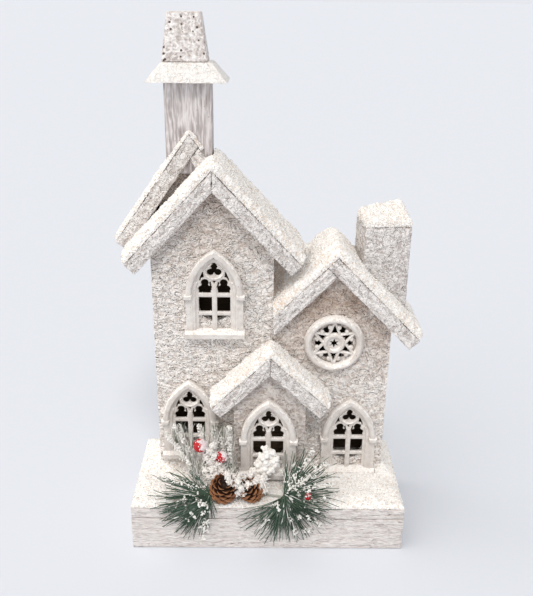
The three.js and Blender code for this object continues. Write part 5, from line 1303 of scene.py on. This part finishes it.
twig_parts = [(*strands(pick_wire[None], 1.15, 1.0), 0.5)]
for number, corners in enumerate(TWIGS):
    core = along_curve(corners, 24)
    twig_parts.append((*strands(core[None], 0.95, 0.5), 0.75))
    leave = rng.integers(1, 19, BARBS)
    reach = rng.uniform(13, 27, BARBS)[:, None]
    lean = core[-1] - core[0]
    heading = np.stack([rng.normal(0, 0.20, BARBS), rng.normal(-0.05, 0.16, BARBS),
                        rng.uniform(0.75, 1.05, BARBS)], -1) + 0.45 * lean / np.linalg.norm(lean)
    t = np.linspace(0, 1, 4)[None, :, None]
    paths = core[leave][:, None] + (unit(heading) * reach)[:, None] * t
    paths[..., 1] = np.clip(paths[..., 1], -44, -9)
    paths[..., 2] = np.minimum(paths[..., 2], MOST_UP)
    frost = np.clip(rng.normal(0.53, 0.20, (BARBS, 1)) + rng.normal(0, 0.12, (BARBS, 4)), 0, 1)
    twig_parts.append((*strands(paths, rng.uniform(0.38, 0.60, BARBS)), frost.repeat(3)))
    spots = core[rng.integers(4, 24, CLODS)] + rng.normal(0, 1.0, (CLODS, 3)) - (0, 3.2, 0)
    spots[:, 2] = np.minimum(spots[:, 2] + rng.uniform(-3, 3, CLODS), MOST_UP - 0.5)
    twig_parts.append(flakes(spots, 1.05, 371 + number))
house_piece("frosted_twig_needles", "frosted_twigs", "snow", frost_finish, None, *joined(twig_parts))

# Pine cones: two real ones, wired on. Their woody scales stand in a spiral, near black in the depths, which
# is painted shade over their own dark brown, and tan at their bent, worn tips.
def turned_about(points, turn_x, turn_z):
    """Turned about X, then about Z, in degrees."""
    a, b = np.radians(turn_x), np.radians(turn_z)
    x, y, z = np.moveaxis(points, -1, 0)
    y, z = y * np.cos(a) - z * np.sin(a), y * np.sin(a) + z * np.cos(a)
    return np.stack([x * np.cos(b) - y * np.sin(b), x * np.sin(b) + y * np.cos(b), z], -1)


GOLDEN = np.pi * (3 - np.sqrt(5))


def pine_cone(name, node, place, turn_x, turn_z, radius, length, count, seed):
    """A cone about Y: scales in a golden spiral, each a spoon whose two faces are grids
    in its width and length; its end is thick, broad and bent outwards. The core is a
    spindle. Low crests in the depths, high ones on the scales' rims."""
    rng = np.random.default_rng(seed)
    u, v = grid_of(np.linspace(-1, 1, 5), np.linspace(0, 1, 5))
    number = np.arange(u.size).reshape(u.shape)
    rim = np.concatenate([number[0], number[1:, -1], number[-1, -2::-1], number[-2:0:-1, 0]])
    band = np.stack([rim, rim + u.size, np.roll(rim, -1) + u.size, np.roll(rim, -1)], -1)
    scale_faces = [*grid_faces(number.T), *grid_faces((number + u.size).T)[:, ::-1], *band]
    parts = []
    for i in range(count):
        t = (i + 0.5) / count
        height = length * (0.47 - 0.92 * t)
        girth = radius * np.sqrt(max(0.05, 1 - (2.05 * height / length) ** 2))
        width = radius * 0.34 * (0.50 + 0.50 * girth / radius)
        out = girth * (0.25 + 0.77 * v * (1 - 0.10 * u ** 2))
        swell = 0.35 + 0.65 * np.sin(np.pi * np.clip(0.10 + 0.62 * v, 0, 1)) ** 2
        span = width * u * swell
        climb = radius * (0.42 - 0.75 * t) * v ** 2 + 0.10 * radius * (u ** 2) * v
        thick = radius * (0.02 + 0.085 * v ** 4 * (1 - 0.5 * u ** 2))
        leaf = np.stack([np.stack([out - 0.10 * radius * u ** 2 * v, climb + side * thick, span], -1)
                         for side in (1, -1)]).reshape(-1, 3)
        turn = i * GOLDEN + rng.normal(0, 0.08)
        x = leaf[:, 0] * np.cos(turn) + leaf[:, 2] * np.sin(turn)
        z = leaf[:, 2] * np.cos(turn) - leaf[:, 0] * np.sin(turn)
        # low crests near the cone's heart give the near-black colour: painted shade in the depths
        edge = np.clip(np.tile((v ** 5).ravel(), 2) * 0.75 + 0.12 + rng.normal(0, 0.05), 0, 1)
        parts.append((np.stack([x, leaf[:, 1] + height, z], -1), scale_faces, edge))
    angle, height = grid_of(np.arange(10) * np.pi / 5, np.linspace(-1, 1, 7))
    round_core = 0.5 * radius * np.sqrt(np.maximum(1 - height ** 2, 0.01))
    core = np.stack([round_core * np.cos(angle), 0.42 * length * height, round_core * np.sin(angle)], -1)
    number = np.arange(angle.size).reshape(angle.shape)
    core_faces = [*grid_faces(np.concatenate([number, number[:1]]).T)[:, ::-1], number[:, 0],
                  number[::-1, -1]]
    points, faces, crest = joined(parts + [(core.reshape(-1, 3), core_faces, 0.0)])
    points = turned_about(points, turn_x, turn_z) + place
    house_piece(name, node, "cone", cone_finish, 50, points, faces, crest)


pine_cone("large_cone_scales", "pine_cone_large", (-38.5, -46, 60.5), -60, 12, 12.6, 23, 60, 401)
pine_cone("small_cone_scales", "pine_cone_small", (-15.5, -45.5, 58.5), -50, -48, 10.4, 19, 50, 411)

# Berries: two glossy red ones on a wire, powdered with snow on their right sides, with
# a clot of flock below them. A small third one lies half hidden in the right sprig.
def ball(radius, place, seed, knobs, rings):
    """A ball over latitude and longitude; ripples raise its radius by `knobs`. Returns
    points, faces, the way each point lies from the middle, and its ripple."""
    angle, rise = grid_of(np.arange(2 * rings) * np.pi / rings,
                          np.linspace(-np.pi / 2, np.pi / 2, rings + 1)[1:-1])
    way = np.stack([np.cos(rise) * np.cos(angle), np.cos(rise) * np.sin(angle), np.sin(rise)], -1)
    lift = ripple(way * 10, 7.0, seed) + 0.6 * ripple(way * 10, 3.2, seed + 1)
    points = np.array(place) + way * (radius * (1 + knobs * lift))[..., None]
    number = np.arange(angle.size).reshape(angle.shape)
    faces = [*grid_faces(np.concatenate([number, number[:1]]).T), number[::-1, 0], number[:, -1]]
    return points.reshape(-1, 3), faces, way.reshape(-1, 3), lift.ravel()


def headings(rng, count, lean=(0, 0, 0)):
    """Random directions, drawn towards `lean`, each a millimetre long."""
    return unit(rng.normal(size=(count, 3)) + np.array(lean))


def wires(routes, radius, crest):
    """Bare wires along rounded routes, as parts to be joined."""
    return [(*strands(along_curve(corners, 12)[None], radius, 1.0), crest) for corners in routes]


berry_parts = []
for radius, place, seed in ((6.0, (-59.3, -33, 95.5), 421), (5.2, (-41.2, -33, 84), 423)):
    points, faces, way, lift = ball(radius, place, seed, 0.01, 18)
    snowy = way @ np.array([0.75, -0.2, 0.62]) + 0.5 * lift
    berry_parts.append((points, faces, 0.35 + 0.9 * (snowy - 0.25)))
    powder = headings(np.random.default_rng(seed), 60, (1.0, -0.5, 0.8))
    berry_parts.append(flakes(np.array(place) + powder * (radius + 0.1), 0.55, seed + 5))
berry_parts += wires(([(-45, -35, 50.5), (-46, -35, 62), (-53, -34, 78), (-58, -33, 91)],
                      [(-46, -35, 62), (-43.5, -34, 70), (-41.2, -33, 79)]), 0.95, 0.8)
house_piece("snowy_berries", "berry_spray", "berry", berry_finish, 60, *joined(berry_parts))
points, faces, _, lift = ball(3.3, (35, -47.5, 53.5), 427, 0.02, 10)
spots = np.array([(33, -50, 55.6), (36.5, -50, 56.4), (38.4, -49, 54), (31.6, -48.5, 53.4)])
house_piece("hidden_berry", None, "berry", berry_finish, 60,
            *joined([(points, faces, 0.3 + 0.25 * lift), flakes(spots, 1.0, 429)]))

# Bud cluster: fluffy white buds, glued to a forked wire before the door. Each is a
# ball of flock with smaller ones pressed into it.
def bud(place, radius, seed):
    """A bud: a round heart with ten smaller balls pressed into it on all sides."""
    rng = np.random.default_rng(seed)
    spots = np.concatenate([np.zeros((1, 3)), headings(rng, 10) * radius * 0.74])
    sizes = np.concatenate([[0.80 * radius], radius * rng.uniform(0.34, 0.52, 10)])
    parts = []
    for k in range(11):
        points, faces, _, lift = ball(sizes[k], np.array(place) + spots[k], seed + k, 0.10, 6)
        parts.append((points, faces, 0.72 + 0.3 * lift))
    return parts


BUDS = [(-14, -30.7, 59, 4.6), (-9.5, -31.5, 64, 4.8), (-5.5, -31.5, 70, 5.2), (-8, -31, 77, 4.6),
        (-1, -31.5, 77, 5.0), (5.5, -31, 81.5, 4.8), (-1, -31, 87, 4.8), (-12.5, -31.5, 69, 3.6),
        (1.5, -31.5, 69.5, 4.4), (6, -31.5, 75, 4.2), (-4, -32, 62.5, 4.4), (-6, -31, 83, 4.0),
        (3.5, -31.5, 88, 3.8), (-3, -31.5, 91, 3.6), (-9, -34, 55.5, 4.4), (-15.5, -33, 65, 4.0),
        (-2, -34, 56, 3.4)]
bud_parts = []
for number, (x, y, z, radius) in enumerate(BUDS):
    bud_parts += bud((x, y, z), radius, 441 + number)
bud_parts += wires(([(-13, -35.8, 50), (-14, -31, 58), (-5.5, -31.5, 70), (-1, -31, 87)],
                    [(-5.5, -31.5, 70), (0, -31.3, 76), (5.5, -31, 81)],
                    [(-5.5, -31.5, 70), (-7, -31.2, 74), (-8, -31, 77)]), 1.0, 0.6)
house_piece("fluffy_buds", "frosted_bud_cluster", "snow", flock_finish, 60, *joined(bud_parts))

# Loose flock between them: on the large cone's upper right side, behind the small
# cone, and below the berries. It clings where it was pressed into wet glue.
CLODS_PER_TUFT, CURLS = 36, 12


def tuft(place, radius, seed):
    """A fluffy clot of flock: a knobbly ball with clods stuck to it and a few short
    curls standing out of it."""
    rng = np.random.default_rng(seed)
    points, faces, _, lift = ball(radius * 0.72, place, seed, 0.25, 8)
    parts = [(points, faces, 0.62 + 0.35 * lift)]
    heading = headings(rng, CLODS_PER_TUFT + CURLS)
    clods = np.array(place) + heading[CURLS:] * radius * rng.uniform(0.62, 1.05, (CLODS_PER_TUFT, 1))
    parts.append((*grains(clods, 0.36 * radius, seed + 1),
                  rng.uniform(0.45, 1, CLODS_PER_TUFT).repeat(6)))
    curl = rng.normal(0, 0.35, (CURLS, 3))
    t = np.linspace(0.5, 1.45, 4)[None, :, None]
    paths = np.array(place) + radius * (heading[:CURLS, None] * t + curl[:, None] * (t - 0.5) ** 2)
    parts.append((*strands(paths, radius * 0.13, 0.6), 0.9))
    return parts


CLOTS = [(-45.5, -37, 68, 4.2), (-48.5, -37, 74, 3.8), (-41, -36.5, 73, 4.0), (-52, -36.5, 66, 3.6),
         (-36, -41, 71, 3.8), (-30.5, -42, 68, 4.2), (-27, -41, 63.5, 4.0), (-24.5, -41, 70, 3.4),
         (-27.5, -45, 56, 3.2), (-21, -40, 66.5, 3.4), (-49, -38, 61, 3.0), (-50.5, -36, 81, 3.4),
         (-47, -35.5, 87, 3.2), (-44, -36, 79, 3.4), (-55, -36, 72, 3.2), (-33, -51, 70.5, 3.0),
         (-28.5, -50, 66.5, 2.9), (-35, -49, 74.5, 3.0), (-26, -49, 70.5, 3.2), (-26.5, -52, 60, 2.5),
         (-23.5, -51, 65, 3.2), (-21, -52, 60.5, 2.8), (-17.5, -50, 67.5, 3.2), (-12, -47, 67, 3.4),
         (-51, -36, 92, 3.2), (-48, -36, 97.5, 2.8), (-53.5, -36, 85, 3.0),
         (-12.5, -43, 63.5, 4.2), (-7.5, -43, 61, 4.2), (-5, -42, 66, 4.0), (-3.5, -44, 57.5, 3.4)]
clot_parts = []
for number, (x, y, z, radius) in enumerate(CLOTS):
    clot_parts += tuft((x, y, z), radius, 481 + number)
house_piece("loose_flock_clots", None, "snow", flock_finish, 60, *joined(clot_parts))

# Lamps and battery box: plain moulded plastic, tinned springs, steel cans, clear lamp
# heads. They keep the CAD model's shapes and wear only their finishes.
def moulded_finish(name, dark, light, roughness, metallic=0.0, size_mm=2.0):
    """A moulded or rolled surface: a faint cloud of two shades and a fine texture."""
    material = plain_finish(name, roughness, dark, light, size_mm, layers=[("Noise", 0.5, 0.03)])
    material.node_tree.nodes["Principled BSDF"].inputs["Metallic"].default_value = metallic
    return material


FINISHES = (
    (moulded_finish("black_plastic", (0.014, 0.014, 0.015), (0.032, 0.032, 0.034), 0.42),
     ("battery_box", "battery_cover", "switch_body", "lamp_lead_tower", "lamp_lead_house")),
    (moulded_finish("knob_plastic", (0.020, 0.020, 0.021), (0.045, 0.045, 0.047), 0.38),
     ("switch_slider",)),
    (moulded_finish("spring_steel", (0.52, 0.51, 0.50), (0.72, 0.71, 0.69), 0.30, 1.0),
     ("contact_bridge", "contact_negative", "contact_positive")),
    (moulded_finish("cell_can", (0.30, 0.31, 0.33), (0.46, 0.47, 0.49), 0.32, 0.9, 6.0),
     ("battery_cell_front", "battery_cell_back")),
    (moulded_finish("lamp_lens", (0.78, 0.76, 0.66), (0.90, 0.88, 0.80), 0.15, 0.0, 3.0),
     ("lamp_tower", "lamp_house")),
)
for finish, names in FINISHES:
    for name in names:
        dress(name, finish)
